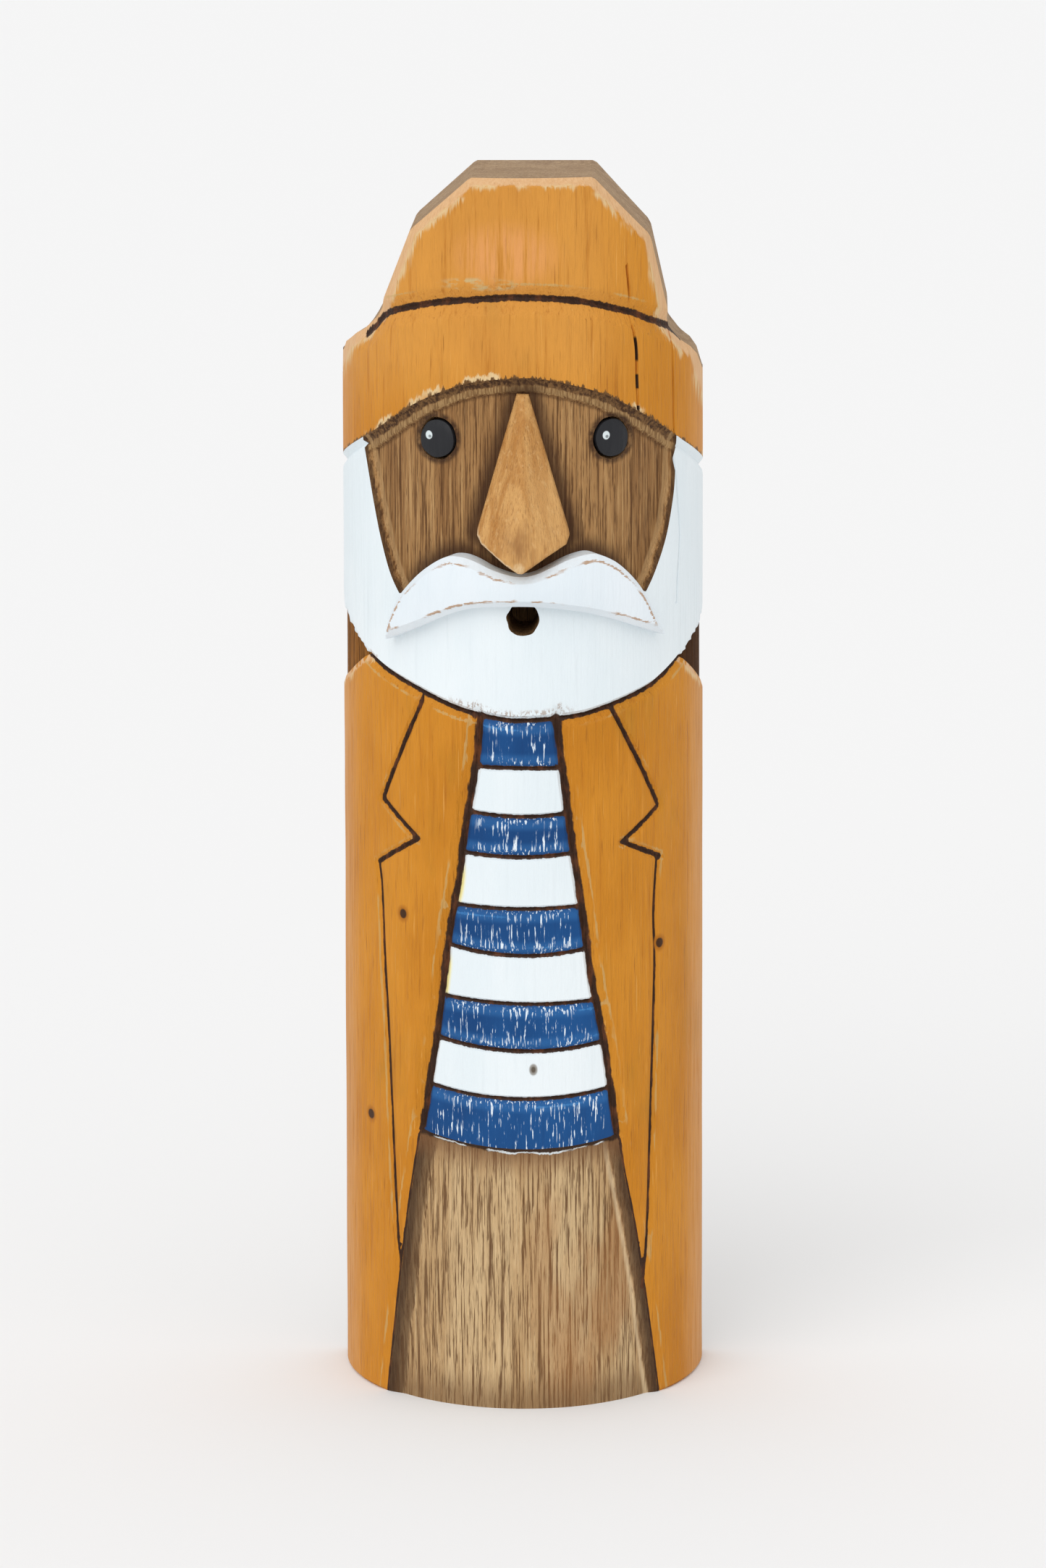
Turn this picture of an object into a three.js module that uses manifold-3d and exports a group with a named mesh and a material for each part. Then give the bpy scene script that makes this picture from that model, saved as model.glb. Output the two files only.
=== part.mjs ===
// Carved wooden sailor, 300 mm tall: one half log with the whole figure cut into its round front,
// and a moustache, a nose and two eyes that are separate pieces glued on.
// Millimetres, +Z up. The front faces -Y and the sawn flat back faces +Y. The origin is the middle
// of the base. Places on the round front are given as [angle, height]: the angle in degrees
// about the log's axis, 0 at the front and positive towards +X.

import * as THREE from 'three';
import { mergeVertices } from 'three/addons/utils/BufferGeometryUtils.js';
import { ConvexGeometry } from 'three/addons/geometries/ConvexGeometry.js';
import Module from 'manifold-3d';

const wasm = await Module();
wasm.setup();

// ---- Driving dimensions ----

// The log and its three storeys.
const BASE_RADIUS = 44.7;
const TAPER = 1.2; // less radius at the crown than at the base
const DEPTH = 50; // flat back to the log's front, at the base
const COAT_HEIGHT = 172; // floor to the beard's lowest point
const HEAD_HEIGHT = 81; // beard's lowest point to the hat's lower edge
const HAT_HEIGHT = 47; // hat's lower edge to the crown

// The woollen hat: sawn crown, a carved line between crown and turned-up brim, whittled edges.
const CROWN_TOP_WIDTH = 26.2;
const CROWN_SHOULDER_WIDTH = 55.2;
const CROWN_FOOT_WIDTH = 68.5;
const CROWN_SIDE_SHIFT = 1.5; // the crown's middle stands this far towards +X
const CROWN_SHOULDER_DROP = 13.6; // below the crown's top
const BRIM_SHOULDER_HEIGHT = 4; // above the hat's lower edge
const BRIM_CORNER = 1; // sawn off each side of the brim's shoulder
const CROWN_FOOT_HEIGHT = 12.8; // above the hat's lower edge
const EDGE_BEVEL = 2; // whittled edge round the crown's front

// Knife work on the front.
const FACE_RECESS = 1.8;
const TROUSER_RECESS = 2;
const SHIRT_LENGTH = 105; // beard's lowest point down to the trousers
const NECK_RECESS = 0.8;
const NECK_OPENING = 6.5; // width over which the neck notch opens, seen from the front
const NECK_SLOPE = 1.2; // rise of its edges for each millimetre outwards
const FACE_BEHIND_MOUSTACHE = 1.5; // how far the bare face runs down behind the moustache
const WIDE_GROOVE = 1.2; // half width and depth of the lines round hat, beard and coat
const FINE_GROOVE = 0.7; // half width and depth of the collar lines and stripe edges

// The drilled mouth.
const MOUTH_DIAMETER = 8;
const MOUTH_DEPTH = 18;
const MOUTH_OVERLAP = 1; // how far the moustache hangs over the hole

// The eyes: turned pegs glued into drilled seats.
const EYE_DIAMETER = 8.6;
const EYE_PEG_LENGTH = 5;
const EYE_DOME = 1;
const EYE_DROP = 14.1; // centre of the eyes below the hat's lower edge
const EYE_ANGLES = { eye_right: -27.6, eye_left: 31.4 };
const EYE_RIM = 0.8; // width of the burnt sink round each eye

// The nose: a long four-sided wedge glued on the face.
const NOSE_TOP_DROP = 3.4; // its top, below the hat's lower edge
const NOSE_TOP_WIDTH = 2.4;
const NOSE_WIDTH = 21;
const NOSE_CHEEK_RISE = 9; // widest place above the nose's tip
const NOSE_TOP_PROUD = 1;
const NOSE_PROUD = 9;
const NOSE_TIP_PROUD = 6.5;

// The moustache: a curved slab glued over face and beard.
const MOUSTACHE_THICKNESS = 5;
const MOUSTACHE_RISE = 35.3; // its top notch above the beard's lowest point
const MOUSTACHE_MIDDLE = 8.3; // height of the slab below the notch

const MOUTH_SIDE_SHIFT = 0.9; // mouth, nose and moustache sit this far towards +X
const GLUE_GAP = 0.3; // clearance between two pieces that touch

// ---- Sizes worked out from those ----

const BEARD_Z = COAT_HEIGHT;
const TROUSER_HEIGHT = COAT_HEIGHT - SHIRT_LENGTH;
const BRIM_Z = COAT_HEIGHT + HEAD_HEIGHT;
const HEIGHT = BRIM_Z + HAT_HEIGHT;
const BACK_Y = DEPTH / 2;
const AXIS_Y = BASE_RADIUS - DEPTH / 2; // the log's axis
const MOUSTACHE_Z = BEARD_Z + MOUSTACHE_RISE;
const NOSE_TIP_Z = MOUSTACHE_Z + 2 * GLUE_GAP;
const NOSE_TOP_Z = BRIM_Z - NOSE_TOP_DROP;
const EYE_Z = BRIM_Z - EYE_DROP;
const MOUTH_Z = MOUSTACHE_Z - MOUSTACHE_MIDDLE + MOUTH_OVERLAP - MOUTH_DIAMETER / 2;
const LOG_SIDES = 56;
const REACH = 2 * BASE_RADIUS; // far enough to pass out of the log

// ---- Helpers ----

function radiusAt(z) {
  return BASE_RADIUS - (TAPER * z) / HEIGHT;
}

// The point at an angle and height on the log's surface, sunk by depth.
function onLog(degrees, z, depth = 0) {
  const angle = THREE.MathUtils.degToRad(degrees);
  const radius = radiusAt(z) - depth;
  return new THREE.Vector3(radius * Math.sin(angle), AXIS_Y - radius * Math.cos(angle), z);
}

// The point of the log's surface straight in front of [x, z].
function frontOfLog(x, z) {
  const radius = radiusAt(z);
  return new THREE.Vector3(x, AXIS_Y - Math.sqrt(radius * radius - x * x), z);
}

function toSolid(geometry) {
  const bare = geometry.clone();
  bare.deleteAttribute('normal');
  bare.deleteAttribute('uv');
  const merged = mergeVertices(bare, 1e-5);
  return new wasm.Manifold(
    new wasm.Mesh({
      numProp: 3,
      vertProperties: new Float32Array(merged.attributes.position.array),
      triVerts: new Uint32Array(merged.index.array),
    })
  );
}

function toGeometry(solid) {
  const mesh = solid.getMesh();
  const geometry = new THREE.BufferGeometry();
  geometry.setAttribute('position', new THREE.BufferAttribute(mesh.vertProperties, 3));
  geometry.setIndex(new THREE.BufferAttribute(mesh.triVerts, 1));
  geometry.computeVertexNormals();
  return geometry;
}

// The whole round log, thinner all over by depth.
function roundLog(depth = 0, overlength = 0) {
  const length = HEIGHT + 2 * overlength;
  const bottom = radiusAt(-overlength) - depth;
  const top = radiusAt(HEIGHT + overlength) - depth;
  const log = new THREE.CylinderGeometry(top, bottom, length, LOG_SIDES);
  log.rotateX(Math.PI / 2);
  log.translate(0, AXIS_Y, HEIGHT / 2);
  return toSolid(log);
}

// A prism running front to back whose outline is drawn in x and z.
function sawnThrough(outline, back = REACH) {
  const shape = new THREE.Shape(outline);
  const prism = new THREE.ExtrudeGeometry(shape, { depth: back + REACH, bevelEnabled: false });
  prism.rotateX(Math.PI / 2);
  prism.translate(0, back, 0);
  return toSolid(prism);
}

// A smooth run of outline points through a few [angle, height] places on the log's front.
function carvedRun(places, steps) {
  const run = new THREE.SplineCurve(places.map(([angle, z]) => new THREE.Vector2(angle, z)));
  return run.getPoints(steps).map((p) => {
    const point = onLog(p.x, p.y);
    return new THREE.Vector2(point.x, point.z);
  });
}

// A pocket of even depth under the log's surface, inside an outline drawn in x and z.
function pocket(outline, depth) {
  return sawnThrough(outline, BACK_Y + 1).subtract(roundLog(depth, 1));
}

// A six-sided gouge line along a path on the log's surface.
function gougeLine(path, halfWidth, steps) {
  const section = new THREE.Shape();
  for (let corner = 0; corner < 6; corner += 1) {
    const angle = (corner * Math.PI) / 3;
    const x = halfWidth * Math.cos(angle);
    const y = halfWidth * Math.sin(angle);
    if (corner === 0) section.moveTo(x, y);
    else section.lineTo(x, y);
  }
  return toSolid(new THREE.ExtrudeGeometry(section, { steps, extrudePath: path, curveSegments: 1 }));
}

function smoothGouge(places, halfWidth, steps) {
  const run = new THREE.SplineCurve(places.map(([angle, z]) => new THREE.Vector2(angle, z)));
  const points = run.getPoints(steps).map((p) => onLog(p.x, p.y));
  return gougeLine(new THREE.CatmullRomCurve3(points), halfWidth, steps);
}

// One straight cut of a knife from place to place, bent round the log.
function straightGouges(places, halfWidth) {
  return places.slice(1).map((end, index) => {
    const start = places[index];
    return smoothGouge([start, end], halfWidth, 3);
  });
}

// ---- The carved block ----

// The strip of waste that one bevel takes off the crown's front edge, between two corners of
// the sawn outline.
function edgeWaste(from, to) {
  const start = frontOfLog(from.x, from.y);
  const end = frontOfLog(to.x, to.y);
  const along = end.clone().sub(start).normalize();
  const outline = new THREE.Vector3(0, 1, 0).cross(along).normalize();
  if (outline.z < 0) outline.negate();
  const middle = start.clone().add(end).multiplyScalar(0.5);
  const face = frontOfLog(middle.x, middle.z);
  const outward = new THREE.Vector3(face.x, face.y - AXIS_Y, 0).normalize();
  const cut = outline.add(outward).normalize();
  const thickness = 20;
  const overrun = 6; // so that neighbouring bevels meet
  const waste = new THREE.BoxGeometry(start.distanceTo(end) + overrun, thickness, thickness);
  const across = new THREE.Vector3().crossVectors(cut, along).normalize();
  waste.applyMatrix4(new THREE.Matrix4().makeBasis(along, across, cut));
  const depth = EDGE_BEVEL / Math.SQRT2;
  const place = face.addScaledVector(cut, thickness / 2 - depth);
  waste.translate(place.x, place.y, place.z);
  return toSolid(waste);
}

// The carved line between crown and brim, from side to side.
const CROWN_LINE = [
  [-54, BRIM_Z + 11.4],
  [-42, BRIM_Z + 15.6],
  [-27, BRIM_Z + 18],
  [1, BRIM_Z + 19.6],
  [18, BRIM_Z + 18.6],
  [36, BRIM_Z + 15.4],
  [56, BRIM_Z + 10.5],
];

// The hat's lower edge, from side to side.
const HAT_EDGE = [
  [-77, BRIM_Z - 21.5],
  [-60, BRIM_Z - 16.7],
  [-40, BRIM_Z - 8.9],
  [-17, BRIM_Z - 1.3],
  [2, BRIM_Z + 0.3],
  [22, BRIM_Z - 2.6],
  [40, BRIM_Z - 8.8],
  [58, BRIM_Z - 15.6],
  [80, BRIM_Z - 22.8],
];

// The beard's lower edge, from side to side.
const BEARD_EDGE = [
  [-80, BEARD_Z + 20.5],
  [-57, BEARD_Z + 12.2],
  [-34, BEARD_Z + 5.8],
  [-14, BEARD_Z + 1.1],
  [2, BEARD_Z],
  [18, BEARD_Z + 0.8],
  [36, BEARD_Z + 4],
  [56, BEARD_Z + 9.4],
  [78, BEARD_Z + 17],
];

// The coat's two front edges, from the beard to the floor.
const COAT_EDGE_RIGHT = [
  [-12.5, BEARD_Z + 1],
  [-17.5, BEARD_Z - 27],
  [-26.5, BEARD_Z - 73],
  [-34.5, TROUSER_HEIGHT],
  [-40, 0.64 * TROUSER_HEIGHT],
  [-49, -1],
];
const COAT_EDGE_LEFT = [
  [11.5, BEARD_Z + 1],
  [17, BEARD_Z - 31],
  [25, BEARD_Z - 71],
  [34, TROUSER_HEIGHT - 5],
  [40, 0.6 * TROUSER_HEIGHT],
  [50, -1],
];

// The collar lines: lapel, notch and the front's long fold, which ends at the coat's edge.
const COLLAR_RIGHT = [
  [-33, BEARD_Z + 1.5],
  [-49, BEARD_Z - 22],
  [-34, BEARD_Z - 30.5],
  [-52, BEARD_Z - 38.5],
  [-47.5, BEARD_Z - 78],
  [-42.5, 0.54 * TROUSER_HEIGHT],
];
const COLLAR_LEFT = [
  [30, BEARD_Z + 1.5],
  [49, BEARD_Z - 23.5],
  [34, BEARD_Z - 31.5],
  [50, BEARD_Z - 37],
  [47, BEARD_Z - 78],
  [43, 0.48 * TROUSER_HEIGHT],
];

// The edges of the shirt's stripes: height at the middle, and how far the ends turn up.
const STRIPE_EDGES = [
  { z: BEARD_Z - 12, halfAngle: 12.5, sag: 0.3 },
  { z: BEARD_Z - 23.8, halfAngle: 14.5, sag: 0.8 },
  { z: BEARD_Z - 33.6, halfAngle: 16, sag: 0.9 },
  { z: BEARD_Z - 46.3, halfAngle: 18.5, sag: 0.5 },
  { z: BEARD_Z - 58, halfAngle: 21, sag: 1.6 },
  { z: BEARD_Z - 69.8, halfAngle: 23.5, sag: 0.9 },
  { z: BEARD_Z - 81.6, halfAngle: 26, sag: 1.6 },
  { z: BEARD_Z - 93.4, halfAngle: 28, sag: 1.9 },
];

// Half of the moustache's edges, as [x, z] from its top notch: the wavy top and the lower edge.
const MOUSTACHE_TOP = [
  [0, 0],
  [6.5, 1.2],
  [12, 3.4],
  [16.5, 4.4],
  [21, 3.2],
  [27, -2.4],
  [30, -7.5],
  [31.5, -12.3],
  [33, -16.8],
];
const MOUSTACHE_BOTTOM = [
  [27.5, -13.3],
  [20.3, -10.6],
  [13.5, -9.2],
  [0, -MOUSTACHE_MIDDLE],
];

// Points from the moustache's one end over the top to the other, lowered by drop.
function moustacheTop(drop = 0) {
  const half = MOUSTACHE_TOP.map(([x, z]) => new THREE.Vector2(x, z - drop));
  const otherHalf = half.slice(1).map((p) => new THREE.Vector2(-p.x, p.y));
  const run = new THREE.SplineCurve([...otherHalf.reverse(), ...half]);
  return run.getPoints(24).map((p) => new THREE.Vector2(p.x + MOUTH_SIDE_SHIFT, p.y + MOUSTACHE_Z));
}

// The bare face: under the hat, between the cheeks of the beard, down to behind the moustache.
function faceOutline() {
  const hat = carvedRun(HAT_EDGE.slice(1, -1), 12);
  const cheeks = carvedRun([[57, BRIM_Z - 18], [54, BRIM_Z - 33], [42, BRIM_Z - 51.8]], 3);
  const lip = moustacheTop(FACE_BEHIND_MOUSTACHE).filter((p) => Math.abs(p.x) < 29);
  const otherCheek = carvedRun([[-42, BRIM_Z - 51.8], [-53, BRIM_Z - 33], [-58, BRIM_Z - 20]], 3);
  return [...hat, ...cheeks, ...lip.reverse(), ...otherCheek];
}

function trouserOutline() {
  const hem = [
    [COAT_EDGE_RIGHT[3][0], TROUSER_HEIGHT + 2],
    [0, TROUSER_HEIGHT - 1],
    [COAT_EDGE_LEFT[3][0], TROUSER_HEIGHT + 1],
  ];
  const left = carvedRun(COAT_EDGE_LEFT.slice(3), 4);
  const right = carvedRun(COAT_EDGE_RIGHT.slice(3), 4);
  return [...carvedRun(hem, 6), ...left.slice(1), ...right.slice(1).reverse()];
}

// The bare neck, a notch at each side between beard and coat that runs on to the back.
function neckOutline(apexAngle, apexZ) {
  const apex = onLog(apexAngle, apexZ);
  const side = Math.sign(apexAngle);
  const rise = NECK_OPENING * NECK_SLOPE;
  const mouth = apex.x + side * NECK_OPENING;
  return [
    new THREE.Vector2(apex.x, apexZ),
    new THREE.Vector2(mouth, apexZ + rise),
    new THREE.Vector2(side * REACH, apexZ + rise),
    new THREE.Vector2(side * REACH, apexZ - rise),
    new THREE.Vector2(mouth, apexZ - rise),
  ];
}

function mouthHole() {
  const radius = MOUTH_DIAMETER / 2;
  const drill = new THREE.CylinderGeometry(radius, radius, REACH, 24);
  const bottomY = frontOfLog(0, MOUTH_Z).y + MOUTH_DEPTH;
  drill.translate(MOUTH_SIDE_SHIFT, bottomY - REACH / 2, MOUTH_Z);
  return toSolid(drill);
}

// A peg of the eye's shape, looking along +Y, made larger all round by clearance.
function eyePeg(clearance = 0) {
  const radius = EYE_DIAMETER / 2 + clearance;
  const domeSteps = 4;
  const profile = [new THREE.Vector2(0, -EYE_PEG_LENGTH - clearance)];
  profile.push(new THREE.Vector2(radius, -EYE_PEG_LENGTH - clearance));
  for (let step = 0; step < domeSteps; step += 1) {
    const turn = (step / domeSteps) * (Math.PI / 2);
    profile.push(new THREE.Vector2(radius * Math.cos(turn), (EYE_DOME + clearance) * Math.sin(turn)));
  }
  profile.push(new THREE.Vector2(0, EYE_DOME + clearance));
  return new THREE.LatheGeometry(profile, 24);
}

function eyeTurn(degrees) {
  return Math.PI + THREE.MathUtils.degToRad(degrees);
}

// The drilled seat of one eye, with its sunk rim.
function eyeSeat(degrees) {
  const seat = eyePeg(GLUE_GAP);
  const rim = new THREE.CylinderGeometry(
    EYE_DIAMETER / 2 + GLUE_GAP + EYE_RIM,
    EYE_DIAMETER / 2 + GLUE_GAP,
    2 * EYE_RIM,
    24
  );
  const place = onLog(degrees, EYE_Z, FACE_RECESS);
  const solids = [seat, rim].map((geometry) => {
    geometry.rotateZ(eyeTurn(degrees));
    geometry.translate(place.x, place.y, place.z);
    return toSolid(geometry);
  });
  return solids[0].add(solids[1]);
}

// The corners of the sawn hat, from one foot of the crown over the top to the other.
function crownCorners() {
  const foot = BRIM_Z + CROWN_FOOT_HEIGHT;
  const shoulder = HEIGHT - CROWN_SHOULDER_DROP;
  const shift = CROWN_SIDE_SHIFT;
  return [
    [shift - CROWN_FOOT_WIDTH / 2, foot + 1],
    [shift - CROWN_SHOULDER_WIDTH / 2, shoulder],
    [2 * shift - CROWN_TOP_WIDTH / 2, HEIGHT],
    [2 * shift + CROWN_TOP_WIDTH / 2, HEIGHT],
    [shift + CROWN_SHOULDER_WIDTH / 2, shoulder],
    [shift + CROWN_FOOT_WIDTH / 2, foot - 1],
  ].map(([x, z]) => new THREE.Vector2(x, z));
}

// The half log as it leaves the saw: flat back, and the hat's outline sawn through it.
function sawnBlank() {
  const side = BASE_RADIUS + 1;
  const brimShoulder = BRIM_Z + BRIM_SHOULDER_HEIGHT;
  const brimHalf = radiusAt(brimShoulder) - BRIM_CORNER;
  const outline = [
    new THREE.Vector2(-side, 0),
    new THREE.Vector2(-side, brimShoulder - 4),
    new THREE.Vector2(-brimHalf, brimShoulder + 1),
    ...crownCorners(),
    new THREE.Vector2(brimHalf, brimShoulder - 3),
    new THREE.Vector2(side, brimShoulder - 8),
    new THREE.Vector2(side, 0),
  ];
  return roundLog().intersect(sawnThrough(outline, BACK_Y));
}

function bodyBlock() {
  const corners = crownCorners();
  const cuts = [
    ...corners.slice(1).map((corner, index) => edgeWaste(corners[index], corner)),
    smoothGouge(CROWN_LINE, WIDE_GROOVE, 10),
    smoothGouge(HAT_EDGE, WIDE_GROOVE, 12),
    smoothGouge(BEARD_EDGE, WIDE_GROOVE, 12),
    smoothGouge(COAT_EDGE_RIGHT, WIDE_GROOVE, 8),
    smoothGouge(COAT_EDGE_LEFT, WIDE_GROOVE, 8),
    ...straightGouges(COLLAR_RIGHT, FINE_GROOVE),
    ...straightGouges(COLLAR_LEFT, FINE_GROOVE),
    ...STRIPE_EDGES.map(({ z, halfAngle, sag }) =>
      smoothGouge([[-halfAngle, z + sag], [0, z], [halfAngle, z + sag]], FINE_GROOVE, 4)
    ),
    pocket(faceOutline(), FACE_RECESS),
    pocket(trouserOutline(), TROUSER_RECESS),
    pocket(neckOutline(-57, BEARD_Z + 12.3), NECK_RECESS),
    pocket(neckOutline(60, BEARD_Z + 11.3), NECK_RECESS),
    ...Object.values(EYE_ANGLES).map(eyeSeat),
    mouthHole(),
  ];
  return cuts.reduce((block, cut) => block.subtract(cut), sawnBlank());
}

// ---- The pieces glued on ----

function moustache() {
  const otherHalf = MOUSTACHE_BOTTOM.slice(0, -1).map(([x, z]) => [-x, z]);
  const underside = [...MOUSTACHE_BOTTOM, ...otherHalf.reverse()].map(
    ([x, z]) => new THREE.Vector2(x + MOUTH_SIDE_SHIFT, z + MOUSTACHE_Z)
  );
  const slab = sawnThrough([...moustacheTop(), ...underside], AXIS_Y);
  return slab.intersect(roundLog(-GLUE_GAP - MOUSTACHE_THICKNESS)).subtract(roundLog(-GLUE_GAP, 1));
}

function nose() {
  const cheekZ = NOSE_TIP_Z + NOSE_CHEEK_RISE;
  const seat = FACE_RECESS + 2;
  const corner = (x, z, proud) => frontOfLog(x + MOUTH_SIDE_SHIFT, z).add(new THREE.Vector3(0, -proud, 0));
  const wedge = new ConvexGeometry([
    corner(-NOSE_TOP_WIDTH / 2, NOSE_TOP_Z, -seat),
    corner(NOSE_TOP_WIDTH / 2, NOSE_TOP_Z, -seat),
    corner(-NOSE_TOP_WIDTH / 4, NOSE_TOP_Z, NOSE_TOP_PROUD),
    corner(NOSE_TOP_WIDTH / 4, NOSE_TOP_Z, NOSE_TOP_PROUD),
    corner(-NOSE_WIDTH / 2, cheekZ, -seat),
    corner(NOSE_WIDTH / 2, cheekZ, -seat),
    corner(-NOSE_WIDTH / 2, cheekZ, 0),
    corner(NOSE_WIDTH / 2, cheekZ, 0),
    corner(0, cheekZ, NOSE_PROUD),
    corner(0, NOSE_TIP_Z, -seat),
    corner(0, NOSE_TIP_Z, NOSE_TIP_PROUD),
  ]);
  return toSolid(wedge).subtract(roundLog(FACE_RECESS - GLUE_GAP));
}

// ---- Finishes ----

function finish(color, roughness) {
  return new THREE.MeshStandardMaterial({ color, roughness, metalness: 0 });
}

const ochrePaint = finish(0xc98630, 0.6);
const whitePaint = finish(0xe9eef0, 0.6);
const paleWood = finish(0xc68f4d, 0.6);
const blackPaint = finish(0x26272b, 0.5);

// ---- Assembly ----

function named(name, geometry, material) {
  const mesh = new THREE.Mesh(geometry, material);
  mesh.name = name;
  return mesh;
}

const sailor = new THREE.Group();
sailor.add(named('body_block', toGeometry(bodyBlock()), ochrePaint));
sailor.add(named('moustache', toGeometry(moustache()), whitePaint));
sailor.add(named('nose', toGeometry(nose()), paleWood));
for (const [name, degrees] of Object.entries(EYE_ANGLES)) {
  const eye = named(name, eyePeg(), blackPaint);
  eye.rotation.z = eyeTurn(degrees);
  eye.position.copy(onLog(degrees, EYE_Z, FACE_RECESS));
  sailor.add(eye);
}

export default sailor;
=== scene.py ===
# A carved wooden sailor, 300 mm tall, standing on a plain floor: one half log carved and painted,
# with a moustache, a nose and two eyes glued on.

import math

import bmesh
import bpy
import numpy as np
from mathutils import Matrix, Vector, geometry, kdtree, noise


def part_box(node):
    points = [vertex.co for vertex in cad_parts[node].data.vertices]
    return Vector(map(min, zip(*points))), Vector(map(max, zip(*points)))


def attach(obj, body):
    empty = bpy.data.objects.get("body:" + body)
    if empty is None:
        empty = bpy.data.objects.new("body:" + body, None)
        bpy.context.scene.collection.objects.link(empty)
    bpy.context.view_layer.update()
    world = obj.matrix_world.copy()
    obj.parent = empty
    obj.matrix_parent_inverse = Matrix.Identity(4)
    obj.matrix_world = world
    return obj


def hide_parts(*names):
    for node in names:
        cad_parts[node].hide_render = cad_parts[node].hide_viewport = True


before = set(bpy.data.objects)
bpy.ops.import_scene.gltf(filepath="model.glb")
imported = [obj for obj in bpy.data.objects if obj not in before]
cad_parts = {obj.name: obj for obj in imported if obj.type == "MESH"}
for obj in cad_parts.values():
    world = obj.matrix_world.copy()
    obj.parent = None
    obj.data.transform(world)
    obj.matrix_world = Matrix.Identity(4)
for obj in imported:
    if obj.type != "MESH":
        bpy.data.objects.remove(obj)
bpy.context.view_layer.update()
bpy.ops.object.select_all(action="DESELECT")
noise.seed_set(1)  # without it the noise vectors would follow the clock

MM = 0.001

# ---------------------------------------------------------------------------------------------
# Viewpoint, floor and light. A long lens a little above the figurine's middle, a pale floor that
# fills the view, one large soft light from the left and a weaker one from the right.

camera_data = bpy.data.cameras.new("camera")
camera_data.lens = 121.4
camera_data.clip_end = 50
camera = bpy.data.objects.new("camera", camera_data)
bpy.context.collection.objects.link(camera)
camera.location = (0.02915, -1.2553, 0.4162)
camera.rotation_euler = (math.radians(90 - 11.915), 0, math.radians(1.317))
camera.rotation_euler.rotate_axis("Z", math.radians(-0.119))
bpy.context.scene.camera = camera

bpy.ops.mesh.primitive_plane_add(size=60)
floor = bpy.context.object
floor.name = "floor"
floor_paper = bpy.data.materials.new("floor_paper")
floor_paper.use_nodes = True
floor_shader = floor_paper.node_tree.nodes["Principled BSDF"]
floor_shader.inputs["Base Color"].default_value = (0.86, 0.86, 0.86, 1)
floor_shader.inputs["Roughness"].default_value = 0.9
floor_shader.inputs["Specular IOR Level"].default_value = 0.1
floor.data.materials.append(floor_paper)


def soft_light(name, direction, spread, strength):
    """A far, wide light that shines along a direction, as even as a north window."""
    light_data = bpy.data.lights.new(name, "SUN")
    light_data.angle = math.radians(spread)
    light_data.energy = strength
    light = bpy.data.objects.new(name, light_data)
    bpy.context.collection.objects.link(light)
    light.rotation_euler = Vector(direction).to_track_quat("-Z", "Y").to_euler()


soft_light("key_light", (0.45, 1, -0.95), 50, 0.95)
soft_light("fill_light", (-0.8, 1, -0.35), 70, 0.12)

sky = bpy.data.worlds.new("white_room")
sky.use_nodes = True
sky.node_tree.nodes["Background"].inputs["Color"].default_value = (1, 1, 1, 1)
sky.node_tree.nodes["Background"].inputs["Strength"].default_value = 0.86
bpy.context.scene.world = sky
bpy.context.scene.view_settings.view_transform = "Standard"

# ---------------------------------------------------------------------------------------------
# The carved block. A half log of light wood: the hat's outline is sawn through it, and hat, face,
# beard, coat, shirt and trousers are cut into its round front with knife and gouge, then painted
# and rubbed back. The relief is worked out on the log's unrolled skin, where a place is its arc
# from the front's middle and its height, both in millimetres, and is then rolled up.

body_low, body_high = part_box("body_block")
BASE_RADIUS = (body_high.x - body_low.x) / 2 / MM
HEIGHT = body_high.z / MM
BACK_Y = body_high.y / MM
TAPER = 1.2
DEPTH = 50
AXIS_Y = BACK_Y - DEPTH + BASE_RADIUS
MEAN_RADIUS = BASE_RADIUS - TAPER / 2


def radius_at(z):
    return BASE_RADIUS - TAPER * z / HEIGHT


def skin(angle, z):
    """The unrolled place of an angle about the log's axis, in degrees, and a height."""
    return (math.radians(angle) * MEAN_RADIUS, z)


def seen(x, z):
    """The unrolled place straight in front of a sideways position and a height."""
    turn = np.arcsin(np.clip(np.divide(x, radius_at(z)), -1, 1))
    return np.stack([turn * MEAN_RADIUS, z], -1)


def rolled(points, rises):
    """The places of the log over unrolled points, rises above its surface, in metres."""
    turns = points[:, 0] / MEAN_RADIUS
    radii = radius_at(points[:, 1]) + rises
    places = np.stack([radii * np.sin(turns), AXIS_Y - radii * np.cos(turns), points[:, 1]], -1)
    return places * MM


def smooth_run(places, step=1.0, unrolled=False):
    """An even run of points on the skin through a few [angle, height] places."""
    knots = np.array(places if unrolled else [skin(*place) for place in places], float)
    ends = [2 * knots[0] - knots[1], *knots, 2 * knots[-1] - knots[-2]]
    points = []
    for before, start, end, after in zip(ends, ends[1:], ends[2:], ends[3:]):
        count = max(1, round(np.linalg.norm(end - start) / step))
        for t in np.arange(count) / count:
            points.append(
                0.5 * (2 * start + (end - before) * t
                       + (2 * before - 5 * start + 4 * end - after) * t**2
                       + (3 * start - before - 3 * end + after) * t**3)
            )
    return np.array([*points, knots[-1]])


def straight_run(corners, step=1.0):
    """Points along straight lines from corner to corner."""
    corners = np.array(corners, float)
    points = []
    for start, end in zip(corners, corners[1:]):
        count = max(1, round(np.linalg.norm(end - start) / step))
        points += [start + (end - start) * t for t in np.arange(count) / count]
    return np.array([*points, corners[-1]])


def sideways(run, distance):
    """The run moved to its left by a distance."""
    along = np.gradient(run, axis=0)
    along /= np.linalg.norm(along, axis=1)[:, None]
    return run + np.stack([-along[:, 1], along[:, 0]], 1) * distance


FAR = 99.0
REACH = 8  # how far from a run the relief can feel it
MARK_REACH = 9  # and a finish


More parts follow.
